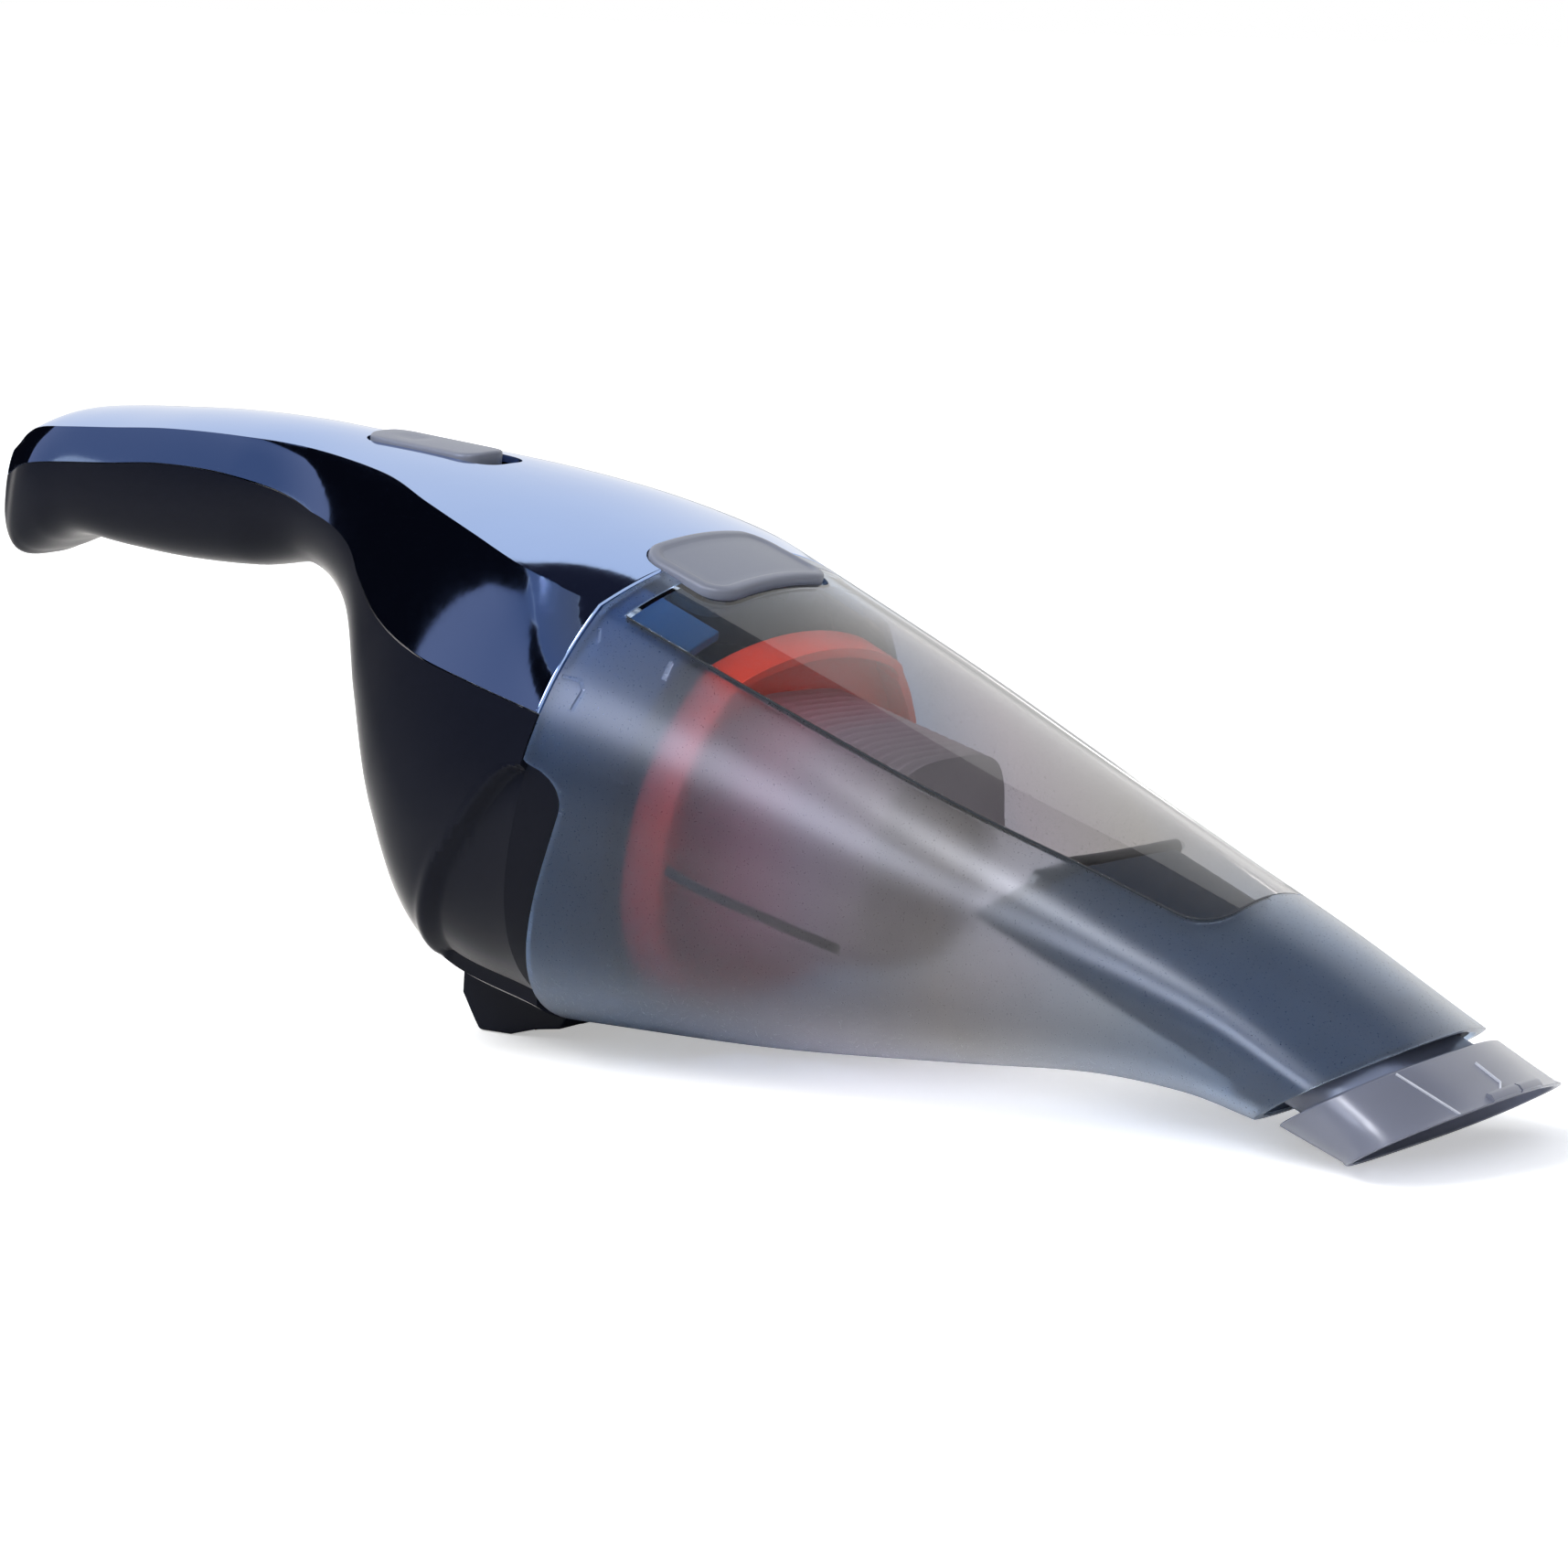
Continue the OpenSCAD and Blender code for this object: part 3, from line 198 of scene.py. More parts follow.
def finish(name, colour, roughness, grain_mm=0.5, grain=0.0, drift=0.12, metallic=0.0, shine=0.5,
           spread=0.08, coat=(0.0, 0.1), bloom=0.0):
    """Plastic or metal: the colour drifts with a broad noise, and a fine noise varies the roughness and raises
    the grain. coat = strength and roughness of an outer skin; bloom = the pale sheen of an etched skin
    seen edge on."""
    mat, nt = new_material(name)
    body = put(nt.nodes["Principled BSDF"], Metallic=metallic, Specular_IOR_Level=shine, Coat_Weight=coat[0],
               Coat_Roughness=coat[1], Sheen_Weight=bloom, Sheen_Roughness=0.25, Sheen_Tint=(1, 0.96, 0.92, 1))
    place = new_node(nt, "TexCoord")
    broad = new_node(nt, "TexNoise", Scale=45, Detail=3)
    fine = new_node(nt, "TexNoise", Scale=1000 / grain_mm, Detail=4)
    shade = new_node(nt, "Mix")
    shade.data_type = "RGBA"
    put(shade, A=(*[c * (1 - drift) for c in colour], 1), B=(*[min(c * (1 + drift), 1) for c in colour], 1))
    rough = new_node(nt, "MapRange", To_Min=max(roughness - spread, 0.01),
                To_Max=min(roughness + spread, 1))
    for noise in (broad, fine):
        nt.links.new(place.outputs["Object"], noise.inputs["Vector"])
    nt.links.new(broad.outputs["Fac"], shade.inputs["Factor"])
    nt.links.new(shade.outputs["Result"], body.inputs["Base Color"])
    nt.links.new(fine.outputs["Fac"], rough.inputs["Value"])
    nt.links.new(rough.outputs["Result"], body.inputs["Roughness"])
    if grain:
        raised = new_node(nt, "Bump", Strength=grain, Distance=0.00006)
        nt.links.new(fine.outputs["Fac"], raised.inputs["Height"])
        nt.links.new(raised.outputs["Normal"], body.inputs["Normal"])
    return mat


def along(mat, axis, stops):
    """Multiply the colour by a ramp along one axis of the object, from stops of (metres, colour)."""
    nt = mat.node_tree
    base = nt.nodes["Principled BSDF"].inputs["Base Color"]
    place, split = new_node(nt, "TexCoord"), new_node(nt, "SeparateXYZ")
    first, last = stops[0][0], stops[-1][0]
    span = new_node(nt, "MapRange", From_Min=first, From_Max=last)
    ramp = new_node(nt, "ValToRGB")
    for k, (at, tint) in enumerate(stops):
        share, spots = (at - first) / (last - first), ramp.color_ramp.elements
        spot = spots[k] if k < 2 else spots.new(share)
        spot.position, spot.color = share, (*tint, 1)
    blend = new_node(nt, "Mix")
    blend.data_type, blend.blend_type = "RGBA", "MULTIPLY"
    put(blend, Factor=1)
    plain = base.links[0].from_socket
    nt.links.new(place.outputs["Object"], split.inputs["Vector"])
    nt.links.new(split.outputs[axis], span.inputs["Value"])
    nt.links.new(span.outputs["Result"], ramp.inputs["Fac"])
    nt.links.new(ramp.outputs["Color"], blend.inputs["A"])
    nt.links.new(plain, blend.inputs["B"])
    nt.links.new(blend.outputs["Result"], base)
    return mat


def heel_round(s):
    """Share of the full width over the sections: start at the heel, and the rest of the way to 1 by a quarter
    of a superellipse."""
    reach, start, power = 0.8, 0.55, 2.2
    return start + (1 - start) * (1 - (1 - np.clip(s / reach, 0, 1)) ** power) ** (1 / power)


# Scoop: its edge in shares of the joint's depth, and back from the joint in sections; its depth and its
# lip's height are in mm, its ramp and the lip's place and width in sections.
scoop_top, scoop_turn, scoop_low = 0.39, 0.62, 0.93
scoop_gap, scoop_curve, scoop_run = 0.05, 0.67, 0.23
scoop_ramp, scoop_deep, lip_high, lip_back, lip_wide = 0.13, 2.7, 0.4, 0.03, 0.05


def scoop_edge(share):
    """Rear edge of the scoop over the depth share, in sections: a root curve back from the joint, then a
    straight run."""
    down = np.clip((share - scoop_top) / (scoop_turn - scoop_top), 0, 1)
    curve = JOINT - scoop_gap - scoop_curve * np.sqrt(down)
    run = scoop_run * (share - scoop_turn) / (scoop_low - scoop_turn)
    edge = np.where(share < scoop_turn, curve, JOINT - scoop_gap - scoop_curve - run)
    return np.where((share < scoop_top) | (share > scoop_low), JOINT + 1, edge)


# Five exhaust slots low on the back of each half: their middles and half their width, in sections, and for
# each end its mm from the centre line and the share of the half width that it keeps within.
vent_mid, vent_half = 10 + np.linspace(0.1, 0.95, 5), 0.0433
vent_ends = ((24, 0.85), (8, 0.3))
housing_s = np.unique(np.round(np.concatenate([
    np.linspace(0, 1, 21), np.linspace(1.1, 11.5, 105), np.linspace(11.5, JOINT, 91),
    vent_mid - vent_half, vent_mid + vent_half]), 4))
# Columns from the cover's edge to the widest line, the slots' outer ends, their inner ends and the belly
housing_parts = (44, 22, 12, 8)


def housing_grid(inset):
    """Grid over section and place on it, from the cover's edge to the belly, with columns on the slots' ends.
    The scoop is sunk by its depth times 3t2 - 2t3, t of the way down its ramp, and a low bell-shaped lip
    stands along its edge. Inside, the grid starts heel_wall of a section in from the heel."""
    heel_wall = 0.4
    heel = heel_wall + (1 - heel_wall) * housing_s
    s = np.where((housing_s < 1) & (inset > 0), np.maximum(housing_s, heel), housing_s)
    rows = section(BODY, s)[:, None, :]
    start = u_at_depth(rows, rows[..., 9] + HALF_SEAM)
    ends = [u_at_across(rows, np.minimum(y, k * rows[..., 6])) for y, k in vent_ends]
    knots, u = [start, 2 + 0 * start, ends[0], ends[1], 3 + 0 * start], []
    for a, b, count in zip(knots[:-1], knots[1:], housing_parts):
        u.append(a + (b - a) * np.linspace(0, 1, count + 1)[None, :-1])
    u = np.concatenate(u + [knots[-1]], 1)
    joint_row = BODY[-1]
    joint_line = skin(joint_row[None, :], -u[-1])
    share = (joint_row[1] - 1000 * joint_line[:, 2]) / (joint_row[1] - joint_row[3])
    past = housing_s[:, None] - scoop_edge(share)[None, :]
    ramp = np.clip(past / scoop_ramp, 0, 1)
    lip = lip_high * np.exp(-((past + lip_back) / lip_wide) ** 2) * (inset == 0)
    sunk = scoop_deep * ramp ** 2 * (3 - 2 * ramp) - lip
    grid = skin(rows, -u, inset + sunk, heel_round(housing_s)[:, None])
    cap = grid[:1].copy()
    cap[..., 1] = 0
    return np.concatenate([cap, grid])


outer, inner = housing_grid(0.0), housing_grid(HOUSING_WALL)
mid_s = (housing_s[1:] + housing_s[:-1]) / 2
in_slot = (np.abs(mid_s[:, None] - vent_mid[None, :]) < vent_half).any(1)
slots = np.zeros((len(outer) - 1, outer.shape[1] - 1), bool)
slot_column = np.arange(outer.shape[1] - 1)
slots[1:][in_slot] = (slot_column >= sum(housing_parts[:2])) & (slot_column < sum(housing_parts[:3]))
housing_skin = finish("housing_skin", (0.004, 0.005, 0.011), 0.42, grain_mm=0.35, grain=0.5, shine=0.0,
                      coat=(0.22, 0.3), bloom=1.0)
for side, name in ((1, "housing_right"), (-1, "housing_left")):
    flip = np.array([1, side, 1])
    build(name + "_skin", *walled(outer * flip, inner * flip, left_out=slots), housing_skin, "body",
          "housing", [name], edge=0.3, angle=35)

# ---- Top cover ----
# One moulding over the crest, chrome plated and tinted blue under a clear lacquer. It clips over
# the housing's top edge, and is cut out for the thumb switch and for the front of the button.
COVER_WALL, ROLL_S = 1.8, 0.045

# Slot and notch: where they start and end, in sections, half width and corner in mm, and the slope
SWITCH_S, SWITCH_HALF, SWITCH_CORNER = (8.17483, 9.73684), 8, 5.5
NOTCH_S, NOTCH_HALF, NOTCH_CORNER, NOTCH_LEAN = 12.5238, 22.6, 7.6, math.radians(20.18)

# Length of a section, in mm, at the slot's two ends and at the notch. Rows crowd at the cut-outs'
# corners and on the rolled front edge.
slot_rear_mm, slot_front_mm, notch_mm = 28.6, 20.9, 19.2
slot_corner = np.array([0, 0.35, 1.0, 2.0, 3.5, 5.5])
notch_corner = NOTCH_CORNER * (1 - np.cos(np.linspace(0, math.pi / 2, 9)))
front_edge = np.array([0.05, 0.045, 0.036, 0.03, 0.024, 0.018, 0.012, 0.006, 0.003])
cover_s = np.unique(np.round(np.concatenate([
    np.linspace(0, 1, 21), np.linspace(1, JOINT, 141), [SWITCH_S[0] - 0.01, NOTCH_S - 0.012],
    SWITCH_S[0] + slot_corner / slot_rear_mm, SWITCH_S[1] - slot_corner / slot_front_mm,
    NOTCH_S + notch_corner / notch_mm, JOINT - front_edge]), 5))

# Columns over the middle, which the cut-outs leave out, and on to the crease; between slot and notch
# the first of them widen from the first to the second of these half widths, in mm.
crest_columns, flank_columns = 5, 9
crest_half = (2.5, 15.5)


def rounded_corner(away, corner):
    """How far a rounded corner stands in from its side: corner less the circle's height at that distance."""
    return corner - np.sqrt(np.maximum(corner ** 2 - np.maximum(corner - away, 0) ** 2, 0))


def from_middle(grid):
    """How many columns each cell of an open grid is away from its middle."""
    columns = grid.shape[1] - 1
    return np.abs(np.arange(columns) - (columns - 1) / 2)


def cover_grid(inset):
    """Grid over section and place on it, crown in the middle, with columns on the edges of both cut-outs. The
    front edge rolls in by the square of the way past ROLL_S, to 1 mm."""
    heel_wall, heel_depth, cap_wide, cap_back = 0.35, 17.37, 0.9, 0.0003
    crease_u = np.array([0.97, 0.988, 1.0, 1.01, 1.025])
    heel = heel_wall + (1 - heel_wall) * cover_s
    s = np.where((cover_s < 1) & (inset > 0), np.maximum(cover_s, heel), cover_s)
    rows = section(BODY, s)[:, None, :]
    x = rows[..., 0]
    slot_x = section(BODY, np.array(SWITCH_S))[:, 0]
    ends_away = np.minimum(x - slot_x[0], slot_x[1] - x)
    slot_half = SWITCH_HALF - rounded_corner(np.maximum(ends_away, 0), SWITCH_CORNER)
    notch_x = section(BODY, np.array([NOTCH_S]))[0, 0]
    past_notch = np.maximum((x - notch_x) / math.cos(NOTCH_LEAN), 0)
    notch_half = NOTCH_HALF - rounded_corner(past_notch, NOTCH_CORNER)
    mix = np.clip((cover_s[:, None] - SWITCH_S[1]) / (NOTCH_S - SWITCH_S[1]), 0, 1)
    between = crest_half[0] + (crest_half[1] - crest_half[0]) * mix
    half = np.where(mix <= 0, slot_half, np.where(mix >= 1, notch_half, between)) / rows[..., 4]
    edge = u_at_depth(rows, rows[..., 9] - HALF_SEAM)
    parts = [(0 * half, half, crest_columns), (half, crease_u[0] + 0 * half, flank_columns)]
    u = [a + (b - a) * np.linspace(0, 1, n + 1)[None, :-1] for a, b, n in parts]
    u.append(0 * half + crease_u[None, :])
    u.append(crease_u[-1] + (edge - crease_u[-1]) * np.linspace(0, 1, 31)[None, 1:])
    u = np.concatenate(u, 1)
    u = np.concatenate([u[:, :0:-1], -u], 1)
    u = np.where(u == 0, 1e-9, u)
    narrow = heel_round(cover_s)[:, None]
    rolled = np.clip(1 - (JOINT - cover_s) / ROLL_S, 0, 1)[:, None] ** 2
    grid = skin(rows, u, inset + rolled * (inset == 0), narrow)
    low = skin(rows[:1], np.full((1, 1), 1e-9) + 0 * edge[:1], 0)[0, 0]
    first = rows[0, 0]
    low_z = (first[1] + (first[3] - first[1]) * (first[9] - 2 * HALF_SEAM) / heel_depth) * 0.001
    cap = grid[:1] * np.array([0, cap_wide, 0]) + np.array([low[0] - cap_back, 0, low_z])
    return np.concatenate([cap, grid])


outer, inner = cover_grid(0.0), cover_grid(COVER_WALL)
mid_s = (cover_s[1:] + cover_s[:-1]) / 2
rows_out = ((mid_s > SWITCH_S[0]) & (mid_s < SWITCH_S[1])) | (mid_s > NOTCH_S)
cut = np.zeros((len(outer) - 1, outer.shape[1] - 1), bool)
cut[1:] = rows_out[:, None] & (from_middle(outer) < crest_columns)[None, :]
plating = finish("blue_plating", (0.34, 0.464, 0.766), 0.07, grain_mm=2.2, grain=0.05, metallic=1.0,
                 spread=0.03, drift=0.03)
build("top_cover_skin", *walled(outer, inner, left_out=cut), plating, "body", "plating", ["top_cover"],
      edge=0.3, angle=38)


# ---- Thumb switch ----
# Satin grey moulding that slides along the crest in its slot. A round hollow takes the thumb, and
# a flange under the cover keeps it in.
def plate_outline(length, width, corner, steps):
    """Rounded rectangle as middles and directions round it, in mm: a quarter turn at each corner, and
    side_points along each straight side."""
    side_points = 9
    angle = np.radians(np.linspace(0, 90, steps)[None, :] + 90 * np.arange(4)[:, None])
    turn = np.stack([np.cos(angle), np.sin(angle)], -1)
    reach = np.array([length / 2 - corner, width / 2 - corner])
    centres = np.array([[1, 1], [-1, 1], [-1, -1], [1, -1]]) * reach
    share = np.linspace(0, 1, side_points + 2)[None, 1:-1, None]
    sides = centres[:, None] * (1 - share) + np.roll(centres, -1, 0)[:, None] * share
    middles = np.concatenate([np.repeat(centres[:, None], steps, 1), sides], 1)
    ways = np.concatenate([turn, np.repeat(turn[:, -1:], side_points, 1)], 1)
    return middles.reshape(-1, 2), ways.reshape(-1, 2)


def crowned_plate(length, width, corner, bend, rings, centre, tilt, dip=None, steps=14):
    """Rings from the rim in: each ring stands (inwards, height) from the outline, heights over a cylinder of
    radius bend along the length, then rings shrink to the middle; dip(x, y) lowers the top, which starts
    at the sixth ring."""
    middles, ways = plate_outline(length, width, corner, steps)
    flat = [(middles + ways * max(corner - inward, 0.05), height) for inward, height in rings]
    last = flat[-1]
    flat += [(last[0] * k, last[1]) for k in (0.85, 0.7, 0.5, 0.3, 0.12, 0.0)]
    first = flat[0]
    flat = [(first[0] * k, first[1]) for k in (0.0, 0.3, 0.65)] + flat
    grid = []
    for index, (xy, height) in enumerate(flat):
        drop = 0 if dip is None or index < 5 else dip(xy[:, 0], xy[:, 1])
        z = np.sqrt(np.maximum((bend + height) ** 2 - xy[:, 1] ** 2, 0)) - bend - drop
        grid.append(np.stack([xy[:, 0], xy[:, 1], z], -1))
    grid = np.stack(grid) * 0.001
    turn = np.array(Matrix.Rotation(math.radians(tilt), 3, "Y"))
    return grid @ turn.T + np.array(centre) * 0.001


def sheet_faces(grid):
    """Points and quads of a grid of closed rings, with no face over its two ends."""
    n, m = grid.shape[:2]
    return grid.reshape(-1, 3), np.stack(cells(n, m, n - 1, m), -1).reshape(-1, 4)


def merge(piece):
    """Join the points that meet at a pole, and turn the faces outwards."""
    work = bmesh.new()
    work.from_mesh(piece.data)
    bmesh.ops.remove_doubles(work, verts=work.verts, dist=1e-6)
    bmesh.ops.recalc_face_normals(work, faces=work.faces)
    work.to_mesh(piece.data)
    work.free()


satin_grey = finish("satin_grey", (0.185, 0.20, 0.255), 0.38, grain_mm=0.3, grain=0.25, shine=0.45,
                    drift=0.04)


def thumb_hollow(x, y):
    """A round hollow near the back: its depth times half of 1 + the cosine of the way out to its edge."""
    back, radius, deep = 6.5, 6.2, 0.75
    away = np.clip(np.hypot(x + back, y) / radius, 0, 1)
    return deep * (0.5 + 0.5 * np.cos(math.pi * away))


switch_rings = [(0, -2.9), (0, 0.5), (0.12, 0.9), (0.4, 1.12), (0.9, 1.2), (2.0, 1.2), (3.4, 1.2)]
switch = crowned_plate(length=33, width=15, corner=5, bend=56.1, rings=switch_rings,
                       centre=(-33, 0, 132.577), tilt=5.51217, dip=thumb_hollow)
merge(build("switch_thumb", *sheet_faces(switch), satin_grey, "switch", "trim_grey", ["power_switch"], edge=0))

# ---- Release button ----
# Grey cap in the cover's notch, pressed straight in against a spring and guided by the tray below. A
# raised rim runs round its bare face, and its front half lies over the bowl's rear edge.
button_rings = [(0, -1.8), (0, 0.3), (0.15, 0.8), (0.5, 1.1), (1.0, 1.2), (1.9, 1.2), (2.4, 1.05), (2.9, 0.72),
                (3.5, 0.6), (5.5, 0.6)]
button = crowned_plate(length=25, width=44, corner=7, bend=108.66, rings=button_rings,
                       centre=(55.2, 0, 112.44), tilt=20.1815, steps=18)
merge(build("button_cap", *sheet_faces(button), satin_grey, "button", "trim_grey", ["release_button"], edge=0))

# ---- Foot ----
# Separate dark block under the belly that carries the charging plates on its front ramp. It is
# pushed up into the housing from below.
foot_gap, foot_y = 0.15, np.linspace(-20, 20, 21)

# A row of its underside: x and z in mm, and the section above it, counted back from the joint
foot_side = np.array([[-9.5, 8.5, 1.07], [-5.7, 1.8, 0.92], [-4.5, 0, 0.84],
                      [4.5, 0, 0.5], [11.5, 1.9, 0.28], [19.5, 3.0, 0.07]])
foot_rows = section(BODY, JOINT - foot_side[:, 2])[:, None, :]
foot_u = np.where(foot_y < 0, -1, 1) * u_at_across(foot_rows, np.abs(foot_y)[None, :])
foot_top = skin(foot_rows, foot_u, -foot_gap)
foot_low = np.stack(np.broadcast_arrays(foot_side[:, :1], foot_y[None, :], foot_side[:, 1:2]), -1) * 0.001
foot_black = finish("foot_skin", (0.005, 0.006, 0.012), 0.42, grain_mm=0.4, grain=0.5, shine=0.0,
                    coat=(0.25, 0.3))
build("foot_skin", *walled(foot_low, foot_top), foot_black, "body", "housing", ["charging_foot"], edge=0.6)

# ---- Dust bowl ----
# One smoke-tinted polycarbonate moulding, frosted inside on its sides and open on top for the
# window. Its rear edge is cut back in a finger scallop on each side, over the collar.
BOWL_WALL, PANE_GAP = 2.2, 0.3

# Rows like the housing's, without the cover's reach
BOWL = np.array([
    [51.5, 114, 23.5, 4, 42.47, 8.3, 62, 0.5, 2.3, 0],
    [94.86, 95.28, 78.55, 4.15, 38.89, 8, 54.01, 0.5, 2.3, 0],
    [135.92, 76.81, 126.26, 7, 33.01, 7.1, 46.69, 0.5, 2.4, 0],
    [175.08, 60.27, 162.96, 9.5, 25.02, 5.9, 39.4, 0.5, 2.5, 0],
    [210.79, 44.26, 188.65, 8.95, 19.55, 4.7, 35.54, 0.5, 2.8, 0],
    [242.5, 26.5, 207, 6.5, 17.01, 4, 35, 0.5, 3, 0]])

# Window and button's notch in sections, the window's corner in mm, and the length of a section in mm at
# the joint and at the window's front end
WINDOW_S, BUTTON_S, WINDOW_CORNER, PITCH, WINDOW_MM = (0.12, 3.6), 0.3689, 9, 50.0724, 43

# Rows start at the rear edge, and the scallop's pull on them has faded at EVEN_S
REAR_S, EVEN_S, pane_gap_s = 0.00799, 0.7, 0.006
quarter = 1 - np.cos(np.linspace(0, math.pi / 2, 7))
bowl_s = np.unique(np.round(np.concatenate([
    [REAR_S, 0.012, WINDOW_S[0] - pane_gap_s], np.linspace(0.02, EVEN_S, 24), np.linspace(0.75, 5, 69),
    WINDOW_S, BUTTON_S - NOTCH_CORNER * quarter / PITCH,
    WINDOW_S[1] - WINDOW_CORNER * quarter / WINDOW_MM]), 5))

# Columns over the button's notch, on to the window's edge, and on to the crease
bowl_crown = (6, 8, 3)


def scallop(share):
    """How far the rear edge is cut back over the depth share, in sections: deep times a steep round rise, and
    past the turn also times 1 less a power of the way on to the lowest point."""
    top, rise_over, turn, deep, power = 0.378, 0.082, 0.43, 0.235, 1.4
    rise = np.sin(np.pi / 2 * np.sqrt(np.clip((share - top) / rise_over, 0, 1)))
    fall = 1 - np.clip((share - turn) / (1 - turn), 0, 1) ** power
    return rise * np.where(share < turn, deep, deep * fall)


def bowl_columns(s):
    """Where the button's notch and the window's edge, with its rounded front corners, lie in u."""
    rows = section(BOWL, s)
    past_button, pane_share = 15.5 / 40.0, 0.992
    notch = (NOTCH_HALF - rounded_corner(np.maximum((BUTTON_S - s) * PITCH, 0), NOTCH_CORNER)) / rows[..., 4]
    notch = np.where(s > BUTTON_S, past_button, notch)
    to_end = np.maximum((WINDOW_S[1] - s) * WINDOW_MM, 0)
    pane = pane_share - rounded_corner(to_end, WINDOW_CORNER) / rows[..., 4]
    at_end = pane[np.argmin(np.abs(s[:, 0] - WINDOW_S[1]))][None]
    return notch, np.where(s > WINDOW_S[1], at_end, pane)


def bowl_half_u(s, crown=bowl_crown):
    """Half-section places as columns for each section number in s (a column array). On the upper side they
    crowd where the scallop turns."""
    notch, pane = bowl_columns(s)
    knots = [0 * s + 1e-9, notch, pane, 1 + 0 * s, 2 + 0 * s, 3 + 0 * s]
    upper = np.concatenate([np.arange(0, 0.74, 0.06), np.arange(0.75, 0.95, 0.01), [0.97]])
    shares = [np.arange(n) / n for n in crown] + [upper, np.arange(30) / 30]
    u = [a + (b - a) * share[None, :] for a, b, share in zip(knots[:-1], knots[1:], shares)]
    return np.concatenate(u + [knots[-1]], 1)


def bowl_grid(inset):
    """Closed rings of the bowl; the rear rows follow the scallop and fade to even rows at EVEN_S."""
    s0 = bowl_s[:, None]
    half_u = bowl_half_u(s0)
    joint_line = skin(BOWL[:1][None], half_u[:1])
    share = (BOWL[0, 1] - 1000 * joint_line[..., 2]) / (BOWL[0, 1] - BOWL[0, 3])
    edge = REAR_S + scallop(share)
    s = np.where(s0 < EVEN_S, edge + (EVEN_S - edge) * (s0 - REAR_S) / (EVEN_S - REAR_S), s0 + 0 * half_u)
    return closed_ring(section(BOWL, s), half_u, inset)


def closed_ring(rows, u, inset):
    """Points down the right side and up the left, for half-section places u from crown to belly."""
    right, left = skin(rows, -u, inset), skin(rows, u, inset)
    return np.concatenate([right, left[:, -2:0:-1]], 1)


def ring_column(ring):
    """Column of each cell of a closed ring, counted down both sides from the top."""
    return np.minimum(np.arange(ring), ring - 1 - np.arange(ring))


outer, inner = bowl_grid(0.0), bowl_grid(BOWL_WALL)
column = ring_column(outer.shape[1])
mid_s = (bowl_s[1:] + bowl_s[:-1]) / 2
opening = ((mid_s > WINDOW_S[0]) & (mid_s < WINDOW_S[1]))[:, None] & (column < sum(bowl_crown[:2]))[None, :]
opening |= (mid_s < WINDOW_S[0])[:, None] & (column < bowl_crown[0])[None, :]


def see_through(name, colour, roughness, let_by, bump=0.0, grain_mm=0.8, ior=1.46, clear=1.0,
                coat=(0.0, 0.1), coat_ior=1.3):
    """Tinted plastic that bends what is behind it; clear is the share that passes and the rest scatters. Lamp
    rays pass with the tint let_by; coat = strength and roughness of an outer skin over the body."""
    mat = finish(name, colour, roughness, grain_mm=grain_mm, grain=bump, drift=0.03, spread=0.02, coat=coat)
    nt = mat.node_tree
    body = put(nt.nodes["Principled BSDF"], Transmission_Weight=clear, IOR=ior, Coat_IOR=coat_ior,
               Specular_Tint=(*3 * [1 - 0.85 * coat[0]], 1))
    lamp = new_node(nt, "BsdfTransparent", Color=(*let_by, 1))
    ray = new_node(nt, "LightPath")
    pick = new_node(nt, "MixShader")
    nt.links.new(ray.outputs["Is Shadow Ray"], pick.inputs["Fac"])
    nt.links.new(body.outputs["BSDF"], pick.inputs[1])
    nt.links.new(lamp.outputs["BSDF"], pick.inputs[2])
    nt.links.new(pick.outputs["Shader"], nt.nodes["Material Output"].inputs["Surface"])
    return mat


smoke = see_through("frosted_smoke", (0.97, 0.97, 0.97), 0.28, (0.86, 0.88, 0.92), grain_mm=0.5, ior=1.3,
                    clear=0.95, coat=(1.0, 0.27))


def strip_on(surface, path, width, height, sunk=0.4):
    """Low bar on a surface along a path of (s, u): the points move half the width across it, and height out
    or sunk in along the normal, all in mm. The normal is the cross product of small steps in s and u."""
    s, u = np.array(path, float).T
    t = np.linspace(0, len(s) - 1, 12 * (len(s) - 1) + 1)
    s, u = np.interp(t, np.arange(len(s)), s), np.interp(t, np.arange(len(u)), u)
    at = surface(s, u)
    normal = np.cross(surface(s + 1e-4, u) - at, surface(s, u + 1e-4) - at)
    normal /= np.linalg.norm(normal, axis=1)[:, None]
    normal *= np.sign(normal[:, 1] * at[:, 1] + 0.3 * normal[:, 2] * np.abs(at[:, 1]))[:, None]
    across = np.cross(normal, np.gradient(at, axis=0))
    across *= 0.0005 * width / np.linalg.norm(across, axis=1)[:, None]
    base = np.stack([at - across, at, at + across], 1)
    dome = np.array([0.55, 1.0, 0.55])[None, :, None] * height
    return walled(base + 0.001 * normal[:, None] * dome, base - 0.001 * sunk * normal[:, None])


def bowl_side(s, u):
    """A point on the bowl's right outer side."""
    return skin(section(BOWL, s), -u)


def joined(*shells):
    """Several shells as one set of points and quads."""
    shift = np.cumsum([0] + [len(points) for points, _ in shells])
    quads = [quads + k for (_, quads), k in zip(shells, shift)]
    return np.concatenate([points for points, _ in shells]), np.concatenate(quads)


